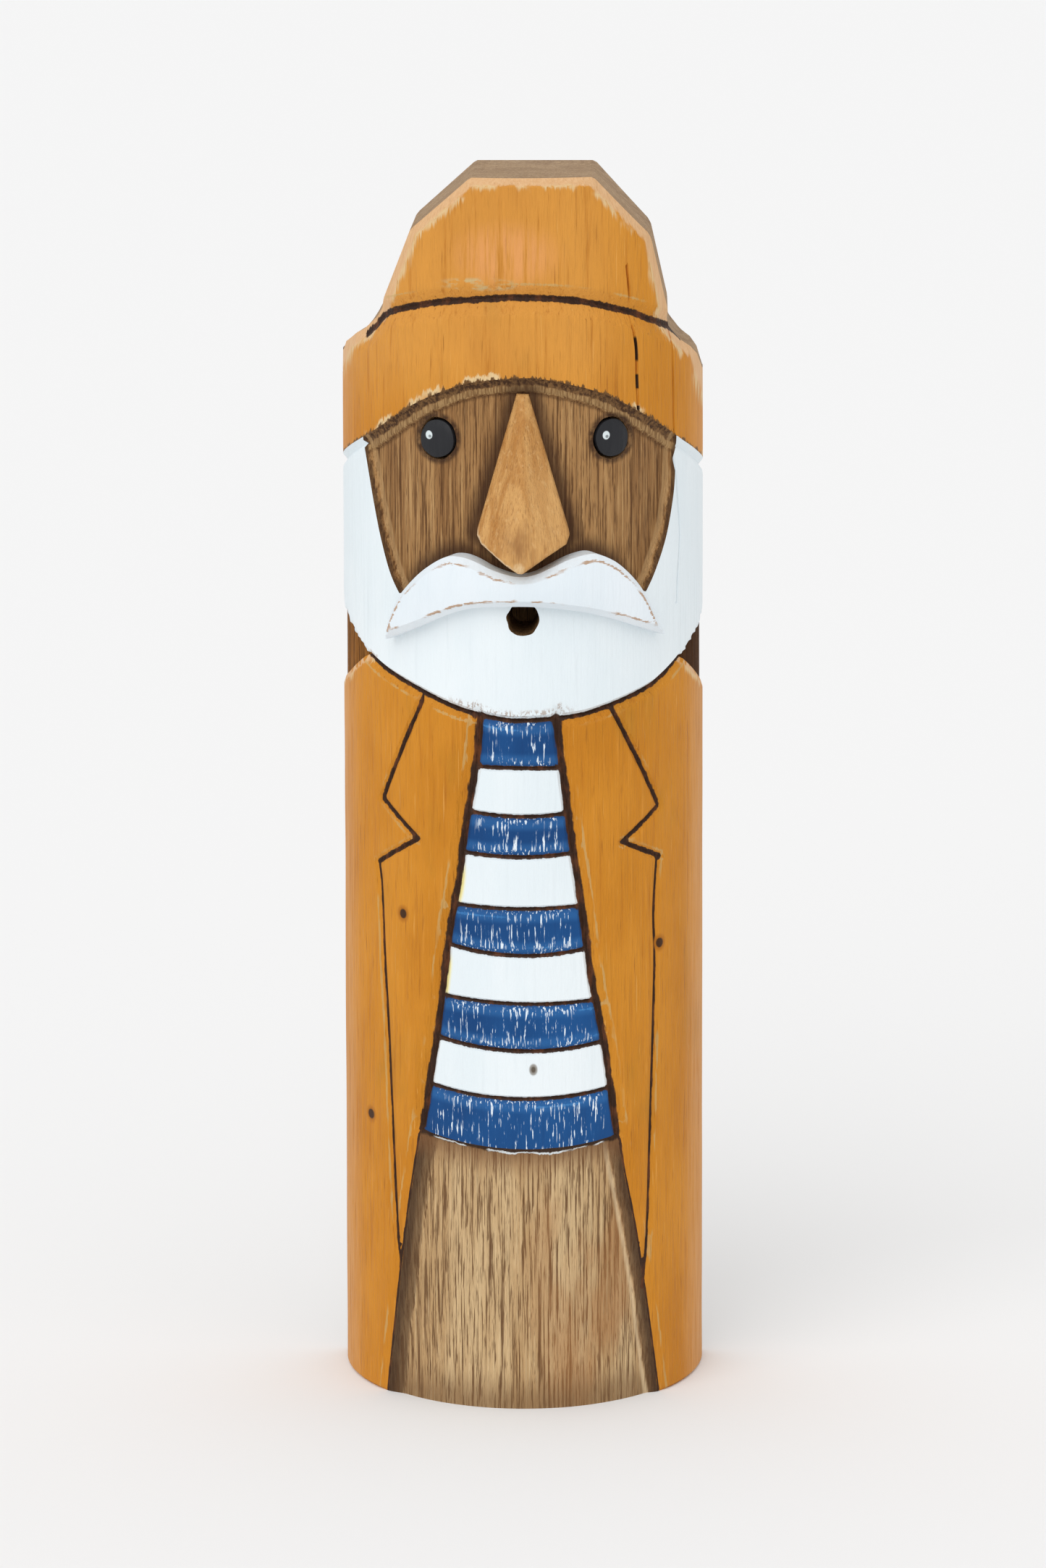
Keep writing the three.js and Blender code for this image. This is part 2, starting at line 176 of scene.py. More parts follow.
def distance_to(run, points, reach=REACH):
    """Each point's distance from a run, positive on the run's left, and FAR beyond reach."""
    distances = np.full(len(points), FAR)
    low, high = run.min(0) - reach, run.max(0) + reach
    near = np.flatnonzero(((points > low) & (points < high)).all(1))
    close = points[near]
    nearest = np.full(len(near), FAR)
    for start, end in zip(run, run[1:]):
        along = end - start
        offset = close - start
        share = np.clip(offset @ along / (along @ along), 0, 1)
        gap = offset - share[:, None] * along
        length = np.hypot(gap[:, 0], gap[:, 1])
        side = np.where(along[0] * offset[:, 1] - along[1] * offset[:, 0] < 0, -1, 1)
        nearest = np.where(length < np.abs(nearest) - 1e-9, length * side, nearest)
    distances[near] = nearest
    return distances


def gap_to(points, reach, *runs):
    """Each point's distance from the nearest of some runs, on either side."""
    return np.min([np.abs(distance_to(run, points, reach)) for run in runs], axis=0)


def above(run, points):
    """Which points lie above a run that goes from left to right."""
    return points[:, 1] > np.interp(points[:, 0], run[:, 0], run[:, 1])


def beyond(run, points):
    """Which points lie to the right of a run that goes from top to bottom."""
    return points[:, 0] > np.interp(-points[:, 1], -run[:, 1], run[:, 0])


def inside(outline, points):
    """Which points lie inside a closed outline."""
    found = np.zeros(len(points), bool)
    for (x0, z0), (x1, z1) in zip(outline, np.roll(outline, -1, axis=0)):
        if z0 != z1:
            crosses = (z0 > points[:, 1]) != (z1 > points[:, 1])
            at = x0 + (points[:, 1] - z0) * (x1 - x0) / (z1 - z0)
            found ^= crosses & (points[:, 0] < at)
    return found


# Where the figure's lines run, as [angle, height], from left to right or from top to bottom.
CROWN_LINE = smooth_run([(-60, 261), (-54, 263.6), (-48.5, 266.6), (-41.8, 268.4), (-26.8, 270.7),
                         (-12.6, 271.8), (0.7, 272.3), (18.2, 271.4), (36.2, 268.3), (45.4, 266),
                         (56, 263.2), (64, 260)])
HAT_EDGE = smooth_run([(-101, 227), (-77.4, 231.8), (-60.4, 236.3), (-50.7, 239.6),
                       (-40.5, 243.9), (-31.6, 247.5), (-17.3, 251.7), (-4.3, 253.2),
                       (6.8, 253.2), (22.4, 250.4), (31.2, 247.8), (40.2, 244.3),
                       (57.6, 237.4), (65.8, 234.5), (81.8, 230), (101, 226)])
CHEEK_RIGHT = smooth_run([(-60, 236.6), (-58.3, 232.9), (-55.7, 227), (-52.5, 219.5),
                          (-49.5, 212.8), (-45.3, 205.3), (-40.9, 200.3), (-36, 196)])
CHEEK_LEFT = smooth_run([(58.5, 237), (57.8, 233), (57.4, 226.9), (56.2, 221.8), (52.8, 213.4),
                         (47.8, 206), (43.6, 201.2), (38, 196)])
LIP = smooth_run([(-44, 200), (-20, 203.5), (20, 203.5), (46, 200.5)])
BEARD_EDGE = smooth_run([(-57.2, 184.1), (-50.1, 181.9), (-42.6, 180), (-34.2, 177.9),
                         (-20, 174.2), (-6.1, 172), (2, 171.7), (18.1, 172.5),
                         (27.3, 173.9), (43.9, 177.3), (50.5, 179.2), (61.2, 183.2)])
NECK_TOP_RIGHT = smooth_run([(-101, 199), (-80.9, 193), (-64.2, 187.6), (-57.2, 184.1)])
NECK_TOP_LEFT = smooth_run([(61.2, 183.2), (68.1, 186), (79, 189.6), (101, 197)])
COLLAR_TOP_RIGHT = smooth_run([(-101, 171), (-76.8, 176.9), (-57.2, 184.1)])
COLLAR_TOP_LEFT = smooth_run([(61.2, 183.2), (80.6, 175.6), (101, 170)])
COAT_RIGHT = smooth_run([(-12.5, 172.6), (-14.1, 160.4), (-17.5, 145.2), (-20.2, 130.9),
                         (-23.2, 119), (-26.7, 98.9), (-31.1, 79), (-34.5, 65.5),
                         (-40, 42.8), (-49.2, -3)])
COAT_LEFT = smooth_run([(11.6, 172.2), (13.6, 160.4), (16.9, 141.2), (19, 131), (23.6, 107),
                        (27.8, 91.6), (31.2, 74.4), (34.6, 59.3), (40.1, 39.7), (50.2, -3)])
LAPEL_CUTS = [
    [(-32.6, 175), (-49.4, 149.7)],
    [(-49.4, 149.7), (-34.1, 141.3)],
    [(-34.1, 141.3), (-52.1, 133.6)],
    [(29.8, 174), (49, 148.4)],
    [(49.2, 148), (34, 140.6)],
    [(34, 140.6), (49.9, 135.4)],
]
COAT_FOLDS = [
    [(-52.1, 133.6), (-50.7, 127.7), (-49.3, 110.6), (-47.6, 93.8), (-45.7, 69.7),
     (-43.6, 42.2), (-42.2, 34)],
    [(48.7, 135.4), (47.2, 122.3), (47.7, 111), (47.2, 99), (45.7, 70), (44.2, 42.4), (42.4, 28)],
]
# The stripes' edges: the height at the coat's right edge, in the middle and at its left edge.
STRIPE_HEIGHTS = [(160.2, 160, 159.9), (149.3, 148.2, 148.9), (139.2, 138.3, 139),
                  (126.3, 125.6, 126), (116.2, 114.1, 115.3), (103.5, 102.2, 102.4),
                  (93, 90.5, 91.9), (81, 78.6, 80.2), (69.3, 66.2, 68.2)]
CRACKS = [
    [(35.6, 279), (36.4, 273.3), (37.4, 266.4), (39.1, 259.5), (39.4, 252.6), (40, 244.8)],
    [(55.8, 263.5), (56.2, 254.8), (57.1, 236.4), (59, 223.3), (60.4, 212.7), (59, 202.3),
     (58.6, 196.9)],
]


def stripe_edge(right_z, middle_z, left_z):
    right = np.interp(-right_z, -COAT_RIGHT[:, 1], COAT_RIGHT[:, 0])
    left = np.interp(-left_z, -COAT_LEFT[:, 1], COAT_LEFT[:, 0])
    share = np.linspace(0, 1, max(8, round(left - right)))
    sag = middle_z - (right_z + left_z) / 2
    height = right_z + (left_z - right_z) * share + sag * 4 * share * (1 - share)
    return np.stack([right + (left - right) * share, height], 1)


STRIPE_EDGES = [stripe_edge(*heights) for heights in STRIPE_HEIGHTS]
HEM = STRIPE_EDGES[-1]

# The sawn outline of the hat, [x, height], from the right side over the top to the left.
SAWN_HAT = straight_run([(-BASE_RADIUS - 1, 250), (-43.4, 255), (-42.4, 257.8), (-35, 265.4),
                         (-33.4, 267.8), (-25.9, 286.8), (-25.1, 287.8), (-11.9, 299.5),
                         (-11, HEIGHT), (16.9, HEIGHT), (17.9, 299.5), (30.2, 286.2),
                         (31, 284.8), (35.6, 265), (36.6, 263), (42.2, 255), (43.3, 251.5),
                         (BASE_RADIUS + 1, 243)])
BACK_SHOULDER_DROP = 2  # of the brim's right shoulder, from the front to the back
EDGE_BEVEL = 2
EASED = 0.7  # rubbed off the edges at the base and the back

# Each carved line: its run, its section as (distance, rise) from the run's right to its left,
# the stretch of it that is stained dark, and the distance at which its ridge is rubbed bare.
SHIRT_RISE = -0.5
GOUGED = [
    (CROWN_LINE, [(-4.2, 0), (-1, -1.1), (0, -1.7), (0.8, -1.2), (3.2, 0)], (-0.9, 0.7), (3.2,)),
    (BEARD_EDGE, [(-2.4, 0), (-0.5, -1.1), (0, -1.5), (0.4, -1), (1.2, 0)], (-0.7, 0.4), (-2.4, 1.4)),
]
coat_section = [(-3, 0), (-0.9, -1.2), (0, -1.7), (0.9, -1.1), (1.6, SHIRT_RISE)]
hem_heights = STRIPE_HEIGHTS[-1]
GOUGED += [
    (COAT_RIGHT[COAT_RIGHT[:, 1] > hem_heights[0]], coat_section, (-1, 0.9), (-2.8,)),
    (COAT_LEFT[COAT_LEFT[:, 1] > hem_heights[2]],
     [(-distance, rise) for distance, rise in reversed(coat_section)], (-0.9, 1), (2.8,)),
    (COAT_RIGHT[COAT_RIGHT[:, 1] <= hem_heights[0] + 1], [(-3, 0), (0, -0.6)], (-0.5, 0), (-2.8,)),
    (COAT_LEFT[COAT_LEFT[:, 1] <= hem_heights[2] + 1], [(0, -0.6), (3, 0)], (0, 0.5), (2.8,)),
]
for cut in LAPEL_CUTS:
    outer = math.copysign(1.3, cut[0][0])
    GOUGED.append((smooth_run(cut), [(-1.3, 0), (0, -0.9), (1.3, 0)], (-0.6, 0.6), (outer,)))
for fold in COAT_FOLDS:
    outer = math.copysign(1.3, fold[0][0])
    GOUGED.append((smooth_run(fold), [(-1.3, 0), (0, -0.8), (1.3, 0)], (-0.4, 0.4), (outer,)))
for number, run in enumerate(STRIPE_EDGES[:-1]):
    if number % 2 == 0:
        GOUGED.append((run, [(-0.9, SHIRT_RISE), (0, -1.4), (2, 0)], (-0.5, 0.5), (2,)))
    else:
        GOUGED.append((run, [(-2, 0), (0, -1.4), (0.9, SHIRT_RISE)], (-0.5, 0.5), (-2,)))
for crack in CRACKS:
    GOUGED.append((smooth_run(crack), [(-0.45, 0), (0, -0.8), (0.45, 0)], None, ()))

FACE_RISE = -2
CHEEK_SLOPE = 1.5
TROUSER_RISE = -2.2
COAT_LIP_RISE = -0.6
TROUSER_SLOPES = (4.5, 3)
HAT_LEDGE = [(-3.9, FACE_RISE), (-3, -1.3), (-1.6, -1.15), (-0.8, -0.75), (0, 0)]
BRIM_GROOVE = [(-3.2, 0), (-1.6, -1.2), (-0.8, -0.75), (0, 0)]
NECK_DEPTH = 0.8
NECK_SLOPE = 1.0
COLLAR_BEVEL = 1.3
COLLAR_RIM = 0.3  # how much narrower than the hat's its bare edge is
HAND_WAVES = 0.16  # how much the knife wanders
BACK_ARC = math.acos((AXIS_Y - BACK_Y) / BASE_RADIUS) * MEAN_RADIUS
NECK_TOPS = [NECK_TOP_RIGHT, NECK_TOP_LEFT]
COLLAR_TOPS = [COLLAR_TOP_RIGHT, COLLAR_TOP_LEFT]
BEARD_BOTTOM = np.concatenate([NECK_TOP_RIGHT[:-1], BEARD_EDGE, NECK_TOP_LEFT[1:]])
COAT_TOP = np.concatenate([COLLAR_TOP_RIGHT[:-1], BEARD_EDGE, COLLAR_TOP_LEFT[1:]])

OCHRE, WHITE, BLUE, FACE, TROUSERS, NECK, SAWN, BURNT = range(8)


def region_of(points):
    """Which finish each place of the skin has."""
    regions = np.full(len(points), OCHRE)
    under_hat = ~above(HAT_EDGE, points)
    over_coat = above(COAT_TOP, points)
    beard = under_hat & above(BEARD_BOTTOM, points)
    cheeks = beyond(CHEEK_RIGHT, points) & ~beyond(CHEEK_LEFT, points)
    regions[beard] = WHITE
    regions[beard & cheeks & above(LIP, points)] = FACE
    regions[under_hat & over_coat & ~beard] = NECK
    front = ~over_coat & beyond(COAT_RIGHT, points) & ~beyond(COAT_LEFT, points)
    regions[front] = TROUSERS
    shirt = front & above(HEM, points)
    passed = sum(~above(run, points) for run in STRIPE_EDGES)
    regions[shirt] = np.where(passed % 2 == 0, BLUE, WHITE)[shirt]
    return regions


def relief_of(points):
    """How far each place of the skin is from the log's round surface."""
    rises = np.zeros(len(points))
    to_hat = distance_to(HAT_EDGE, points, 5)
    on_hat = above(HAT_EDGE, points)
    beard = ~on_hat & above(BEARD_BOTTOM, points)
    face = beard & beyond(CHEEK_RIGHT, points) & ~beyond(CHEEK_LEFT, points) & above(LIP, points)
    gap = gap_to(points, REACH, CHEEK_RIGHT, CHEEK_LEFT, LIP)
    face_rise = FACE_RISE * np.clip(gap / CHEEK_SLOPE, 0, 1)
    ledge = np.where(np.abs(to_hat) < 4, np.interp(to_hat, *zip(*HAT_LEDGE)), FACE_RISE)
    rises = np.where(face, np.maximum(face_rise, ledge), rises)
    in_groove = beard & ~face & (np.abs(to_hat) < -BRIM_GROOVE[0][0])
    rises = np.where(in_groove, np.interp(to_hat, *zip(*BRIM_GROOVE)), rises)

    # The shirt lies a little under the coat and the trousers slope down from both.
    under_beard = ~above(COAT_TOP, points)
    front = under_beard & beyond(COAT_RIGHT, points) & ~beyond(COAT_LEFT, points)
    shirt = front & above(HEM, points)
    rises[shirt] = SHIRT_RISE
    slopes = zip((COAT_RIGHT, COAT_LEFT, HEM), (*TROUSER_SLOPES, CHEEK_SLOPE))
    share = np.min([gap_to(points, REACH, run) / slope for run, slope in slopes], axis=0)
    share = np.clip(share, 0, 1)
    trousers = front & ~shirt
    rises[trousers] = (COAT_LIP_RISE + (TROUSER_RISE - COAT_LIP_RISE) * share)[trousers]

    # The neck's notches between beard and coat, and the coat's rounded top below them.
    neck = ~on_hat & ~under_beard & ~beard
    for top, bottom in zip(NECK_TOPS, COLLAR_TOPS):
        gap = gap_to(points, 20, top, bottom)
        cut = -np.minimum(NECK_DEPTH, NECK_DEPTH / 2 + NECK_SLOPE * gap)
        rises = np.where(neck & (gap < FAR), cut, rises)
    for bottom in COLLAR_TOPS:
        gap = gap_to(points, 5, bottom)
        rounded = -NECK_DEPTH / 2 * np.clip(1 - gap / COLLAR_BEVEL, 0, 1)
        rises = np.where(under_beard, np.minimum(rises, rounded), rises)

    # The carved lines, then the eased edges at the back and the foot, and the knife's waves.
    for run, section, _, _ in GOUGED:
        distances = distance_to(run, points, 5)
        offsets, depths = zip(*section)
        within = (distances >= offsets[0]) & (distances <= offsets[-1])
        rises = np.where(within, np.minimum(rises, np.interp(distances, offsets, depths)), rises)
    rises = np.minimum(rises, BACK_ARC - np.abs(points[:, 0]) - EASED)
    rises = np.minimum(rises, points[:, 1] - EASED)
    waves = [noise.noise(Vector((arc / 11, z / 19, 0.5))) for arc, z in points]
    return rises - HAND_WAVES * (1 + np.array(waves)) / 2


# Where the moustache's top and the nose's sides are glued on.
GLUED_EDGES = [
    smooth_run([(-38, 199), (-33, 205), (-27.6, 208.3), (-22.5, 210.6), (-17.5, 210.8),
                (-9.5, 208.4), (-1, 207), (8, 208.6), (17.5, 211), (23, 211.2), (30, 208),
                (36, 203), (40, 199)]),
    straight_run([skin(-0.5, 249), skin(-13.5, 216.5), skin(0.5, 207)]),
    straight_run([skin(3, 249), skin(16.5, 215.5), skin(1.5, 207)]),
]


def depth_in_hat(points):
    """How far each place is inside the sawn outline, seen from the front."""
    radii = radius_at(points[:, 1])
    front_view = np.stack([radii * np.sin(points[:, 0] / MEAN_RADIUS), points[:, 1]], 1)
    return gap_to(front_view, MARK_REACH, SAWN_HAT)


def marks_of(points):
    """What the finishes need to know of each place of the skin, in millimetres but for stain."""
    stain = np.full(len(points), FAR)  # 1 at the edge of a stained line
    ridge = np.full(len(points), FAR)  # from a ridge that is rubbed bare
    crack = np.full(len(points), FAR)
    for run, section, stained, bare in GOUGED:
        distances = distance_to(run, points, 6)
        known = np.abs(distances) < FAR
        if stained is None:
            crack = np.minimum(crack, np.abs(distances))
            continue
        low, high = stained
        nearness = np.abs(distances - (low + high) / 2) / ((high - low) / 2)
        stain = np.where(known, np.minimum(stain, nearness), stain)
        for offset in bare:
            ridge = np.where(known, np.minimum(ridge, np.abs(distances - offset)), ridge)
    rim = depth_in_hat(points)  # from the hat's sawn edge or the coat's top
    under_beard = ~above(COAT_TOP, points)
    for bottom in COLLAR_TOPS:
        gap = gap_to(points, 6, bottom) + COLLAR_RIM
        rim = np.where(under_beard, np.minimum(rim, gap), rim)
    hat_gap = np.minimum(gap_to(points, MARK_REACH, HAT_EDGE), MARK_REACH)
    return {
        "stain": np.minimum(stain, MARK_REACH),
        "ridge": np.minimum(ridge, MARK_REACH),
        "crack": np.minimum(crack, MARK_REACH),
        "rim": np.minimum(rim, MARK_REACH),
        "coat_gap": np.minimum(gap_to(points, 30, COAT_RIGHT, COAT_LEFT), 30),
        "cheek_gap": np.minimum(gap_to(points, REACH, CHEEK_RIGHT, CHEEK_LEFT), MARK_REACH),
        "hat_gap": np.where(above(HAT_EDGE, points), -hat_gap, hat_gap),
        "hem_gap": np.minimum(gap_to(points, 12, HEM), 12),
        "glue_gap": np.minimum(gap_to(points, MARK_REACH, *GLUED_EDGES), MARK_REACH),
    }


def carved_sheet(boundary, rows, spacing, holes=()):
    """Triangulates the skin inside a boundary, with vertices and edges along every row."""
    points, edges = [], []

    def lay(run, closed=False):
        first = len(points)
        points.extend(run)
        edges.extend((first + i, first + i + 1) for i in range(len(run) - 1))
        if closed:
            edges.append((len(points) - 1, first))

    lay(boundary, closed=True)
    for hole in holes:
        lay(hole, closed=True)
    for row in rows:
        kept = inside(boundary, row)
        pieces = np.split(row, np.flatnonzero(~kept[1:] | ~kept[:-1]) + 1)
        for piece in pieces:
            if len(piece) > 1:
                lay(piece)
    laid = kdtree.KDTree(len(points))
    for index, (arc, z) in enumerate(points):
        laid.insert((arc, z, 0), index)
    laid.balance()
    low, high = boundary.min(0), boundary.max(0)
    for line, z in enumerate(np.arange(low[1], high[1], spacing * 0.87)):
        shift = spacing / 2 * (line % 2)
        for arc in np.arange(low[0] + shift, high[0], spacing):
            wander = noise.noise_vector(Vector((arc * 3.1, z * 3.7, 0))) * 0.25 * spacing
            place = (arc + wander.x, z + wander.y)
            if laid.find((*place, 0))[2] > 0.45 * spacing:
                points.append(np.array(place))
    corners, _, faces, _, _, _ = geometry.delaunay_2d_cdt(
        [Vector(p) for p in points], edges, [], 0, 1e-5, False
    )
    corners = np.array([tuple(c) for c in corners])
    faces = np.array(faces)
    middles = corners[faces].mean(1)
    wanted = inside(boundary, middles)
    for hole in holes:
        wanted &= ~inside(hole, middles)
    faces = faces[wanted]
    used, faces = np.unique(faces, return_inverse=True)
    return corners[used], faces.reshape(-1, 3)


def section_rows(run, distances):
    return [run if distance == 0 else sideways(run, distance) for distance in distances]


# The rows of vertices, along every crease of the relief and every edge of a stain.
rows = []
for run, section, stained, bare in GOUGED:
    offsets = {distance for distance, _ in section} | set(bare)
    if stained:
        offsets.add((stained[0] + stained[1]) / 2)
    rows += section_rows(run, sorted(offsets))
rows += section_rows(HAT_EDGE, [distance for distance, _ in HAT_LEDGE])
rows += section_rows(HEM, (-CHEEK_SLOPE, 0))
rows += section_rows(CHEEK_RIGHT, (0, CHEEK_SLOPE)) + section_rows(CHEEK_LEFT, (-CHEEK_SLOPE, 0))
rows += section_rows(LIP, (0, CHEEK_SLOPE))
rows += section_rows(COAT_RIGHT[COAT_RIGHT[:, 1] < hem_heights[0]], (TROUSER_SLOPES[0],))
rows += section_rows(COAT_LEFT[COAT_LEFT[:, 1] < hem_heights[2]], (-TROUSER_SLOPES[1],))
rows += [*NECK_TOPS, *COLLAR_TOPS]
neck_width = NECK_DEPTH / 2 / NECK_SLOPE
rows += [sideways(top, -neck_width) for top in NECK_TOPS]
rows += [sideways(bottom, offset) for bottom in COLLAR_TOPS
         for offset in (neck_width, -COLLAR_BEVEL)]
inner_hat = sideways(SAWN_HAT, -EDGE_BEVEL)
rows.append(seen(inner_hat[:, 0], inner_hat[:, 1]))

on_log = SAWN_HAT[np.abs(SAWN_HAT[:, 0]) < radius_at(SAWN_HAT[:, 1]) - 0.02]
hat_run = seen(on_log[:, 0], on_log[:, 1])
corners = [(-BACK_ARC, hat_run[0, 1]), (-BACK_ARC, 0), (BACK_ARC, 0), (BACK_ARC, hat_run[-1, 1])]
around = straight_run([hat_run[0], *corners, hat_run[-1]])
boundary = np.concatenate([hat_run[::-1], around[1:-1]])
rows.append(straight_run([(EASED - BACK_ARC, 0), (EASED - BACK_ARC, hat_run[0, 1])]))
rows.append(straight_run([(BACK_ARC - EASED, 0), (BACK_ARC - EASED, hat_run[-1, 1])]))
rows.append(straight_run([(-BACK_ARC, EASED), (BACK_ARC, EASED)]))

# The drilled mouth and the two drilled, burnt seats of the eyes.
MOUTH_PLACE = (0.9, 196)
MOUTH_RADIUS = 3.9
MOUTH_DEPTH = 17.5
EYE_ANGLES = {"eye_right": -27.6, "eye_left": 31.4}
EYE_Z = 238.3
SEAT_RADIUS = 5.15
SEAT_DEPTH = 3


def ring(centre, radius, count, unevenness):
    turns = np.arange(count) / count * 2 * math.pi
    wander = [noise.noise(Vector((math.cos(t) * 2, math.sin(t) * 2, centre[0]))) for t in turns]
    radii = radius + unevenness * np.array(wander)
    return np.stack([centre[0] + radii * np.cos(turns), centre[1] + radii * np.sin(turns)], 1)


holes = [ring(MOUTH_PLACE, MOUTH_RADIUS, count=40, unevenness=0.35)]
for angle in EYE_ANGLES.values():
    holes.append(ring(skin(angle, EYE_Z), SEAT_RADIUS, count=48, unevenness=0.25))
skin_points, skin_faces = carved_sheet(boundary, rows, spacing=1.2, holes=holes)
rises = relief_of(skin_points)
places = rolled(skin_points, rises)
places[:, 1] += np.clip(EDGE_BEVEL - depth_in_hat(skin_points), 0, EDGE_BEVEL) * MM
places[:, 1] = np.minimum(places[:, 1], BACK_Y * MM)
at_back = np.abs(skin_points[:, 0]) > BACK_ARC - 0.01
places[at_back, 1] = BACK_Y * MM


def piece_from_sheet(name, mesh_name, places, faces, marks):
    """A new piece made of a sheet that faces forward, with its marks, ready to be drawn back."""
    mesh = bpy.data.meshes.new(mesh_name)
    mesh.from_pydata(places.tolist(), [], faces.tolist())
    piece = bpy.data.objects.new(name, mesh)
    bpy.context.collection.objects.link(piece)
    carving = bmesh.new()
    carving.from_mesh(mesh)
    for mark, values in marks.items():
        layer = carving.verts.layers.float.new(mark)
        for vertex, value in zip(carving.verts, values):
            vertex[layer] = float(value)
    bmesh.ops.recalc_face_normals(carving, faces=carving.faces)
    if sum(face.normal.y for face in carving.faces) > 0:
        bmesh.ops.reverse_faces(carving, faces=carving.faces)
    return piece, carving


def open_edges(carving):
    return [edge for edge in carving.edges if edge.is_boundary]


def smooth_piece(piece, degrees):
    bpy.ops.object.select_all(action="DESELECT")
    piece.select_set(True)
    bpy.context.view_layer.objects.active = piece
    bpy.ops.object.shade_smooth_by_angle(angle=math.radians(degrees))
    piece.select_set(False)


def close_piece(piece, carving, degrees):
    """Turns every face outward, ends the carving and smooths what is flatter than an angle."""
    bmesh.ops.recalc_face_normals(carving, faces=carving.faces)
    carving.to_mesh(piece.data)
    carving.free()
    smooth_piece(piece, degrees)


block, carving = piece_from_sheet(
    "carved_block", "body_block_carved", places, skin_faces, marks_of(skin_points))
for face, region in zip(carving.faces, region_of(skin_points[skin_faces].mean(1))):
    face.material_index = int(region)


def loop_at(centre, radius):
    """The open edges of the drilled hole round a place of the front."""
    middle = Vector(rolled(np.array([centre], float), 0)[0].tolist())
    return [edge for edge in open_edges(carving)
            if all((vertex.co - middle).length < radius * MM for vertex in edge.verts)]


def drill(edges, inwards, steps, narrowing):
    """Sinks a hole's open edge in steps and closes its bottom."""
    for share in steps:
        made = bmesh.ops.extrude_edge_only(carving, edges=edges)["geom"]
        edges = [item for item in made if isinstance(item, bmesh.types.BMEdge) and item.is_boundary]
        corners = {vertex for edge in edges for vertex in edge.verts}
        middle = sum((vertex.co for vertex in corners), Vector()) / len(corners)
        for vertex in corners:
            vertex.co += inwards * share + (middle - vertex.co) * narrowing
        for item in made:
            if isinstance(item, bmesh.types.BMFace):
                item.material_index = BURNT
    bottom = bmesh.ops.contextual_create(carving, geom=edges)["faces"]
    for face in bottom:
        face.material_index = BURNT


mouth_loop = loop_at(MOUTH_PLACE, MOUTH_RADIUS + 1)
drill(mouth_loop, Vector((0, MOUTH_DEPTH * MM, 0)), steps=(0.08, 0.3, 0.62), narrowing=0.04)
for name, angle in EYE_ANGLES.items():
    turn = math.radians(angle)
    inwards = Vector((-math.sin(turn), math.cos(turn), 0)) * SEAT_DEPTH * MM
    seat_loop = loop_at(skin(angle, EYE_Z), SEAT_RADIUS + 3)
    drill(seat_loop, inwards, steps=(0.2, 0.8), narrowing=0.05)

# The saw ran straight through to the flat back, all along the hat's outline.
# At the brim's right shoulder the cut drops towards the back: it starts at this [x, height] and
# is full after these lengths.
SHOULDER_X, SHOULDER_Z = -34, 251.5
DROP_OUTWARDS, DROP_UPWARDS = 2, 3


def on_base(vertex):
    return vertex.co.z < 1e-6


def on_back(vertex):
    return vertex.co.y > BACK_Y * MM - 1e-6


sawn_edges = [edge for edge in open_edges(carving)
              if not all(map(on_back, edge.verts)) and not all(map(on_base, edge.verts))]
made = bmesh.ops.extrude_edge_only(carving, edges=sawn_edges)["geom"]
for item in made:
    if isinstance(item, bmesh.types.BMVert):
        item.co.y = BACK_Y * MM
        if item.co.x < SHOULDER_X * MM:
            outwards = min(1, (SHOULDER_X - item.co.x / MM) / DROP_OUTWARDS)
            upwards = min(1, (item.co.z / MM - SHOULDER_Z) / DROP_UPWARDS)
            item.co.z -= BACK_SHOULDER_DROP * MM * max(0, outwards * upwards)
    elif isinstance(item, bmesh.types.BMFace):
        item.material_index = SAWN
bmesh.ops.remove_doubles(carving, verts=carving.verts, dist=1e-6)
base_edges = [edge for edge in open_edges(carving) if all(map(on_base, edge.verts))]
back_edges = [edge for edge in open_edges(carving) if edge not in base_edges]
ends = {vertex for edge in base_edges for vertex in edge.verts if on_back(vertex)}
back_base = carving.edges.new(sorted(ends, key=lambda vertex: vertex.co.x))
for edges in ([*base_edges, back_base], [*back_edges, back_base]):
    flat = bmesh.ops.contextual_create(carving, geom=edges)["faces"]
    flat += bmesh.ops.triangulate(carving, faces=flat)["faces"]
    for face in flat:
        if face.is_valid:
            face.material_index = SAWN
close_piece(block, carving, degrees=35)

# The block's finishes. A helper finds the tree of nodes by the sockets it is given, and asks for
# the tree only where it starts a new branch.


def tint(red, green, blue):
    """A colour in the 0 to 255 of paint charts, as the shader takes it."""
    shares = [value / 255 for value in (red, green, blue)]
    return (*[s / 12.92 if s < 0.04 else ((s + 0.055) / 1.055) ** 2.4 for s in shares], 1)


def tree_of(*values):
    """The node tree of the first socket among some values."""
    return next(value.id_data for value in values if isinstance(value, bpy.types.NodeSocket))


def put(socket, value):
    if isinstance(value, bpy.types.NodeSocket):
        socket.id_data.links.new(value, socket)
    else:
        socket.default_value = value


def sum_of(operation, first, second=0.0):
    made = tree_of(first, second).nodes.new("ShaderNodeMath")
    made.operation = operation
    put(made.inputs[0], first)
    put(made.inputs[1], second)
    return made.outputs[0]


def plus(first, second):
    return sum_of("ADD", first, second)


def times(first, second):
    return sum_of("MULTIPLY", first, second)


def swing(value, reach):
    """A value about a half turned into one about zero, a reach wide."""
    return times(sum_of("SUBTRACT", value, 0.5), reach)


def rise_of(value, low, high, start=0.0, end=1.0):
    """A soft step from start to end as the value goes from low to high."""
    made = tree_of(value).nodes.new("ShaderNodeMapRange")
    made.interpolation_type = "SMOOTHSTEP"
    for socket, setting in zip(made.inputs, (value, low, high, start, end)):
        put(socket, setting)
    return made.outputs[0]


def fall_of(value, low, high, start=1.0):
    return rise_of(value, low, high, start, 0.0)


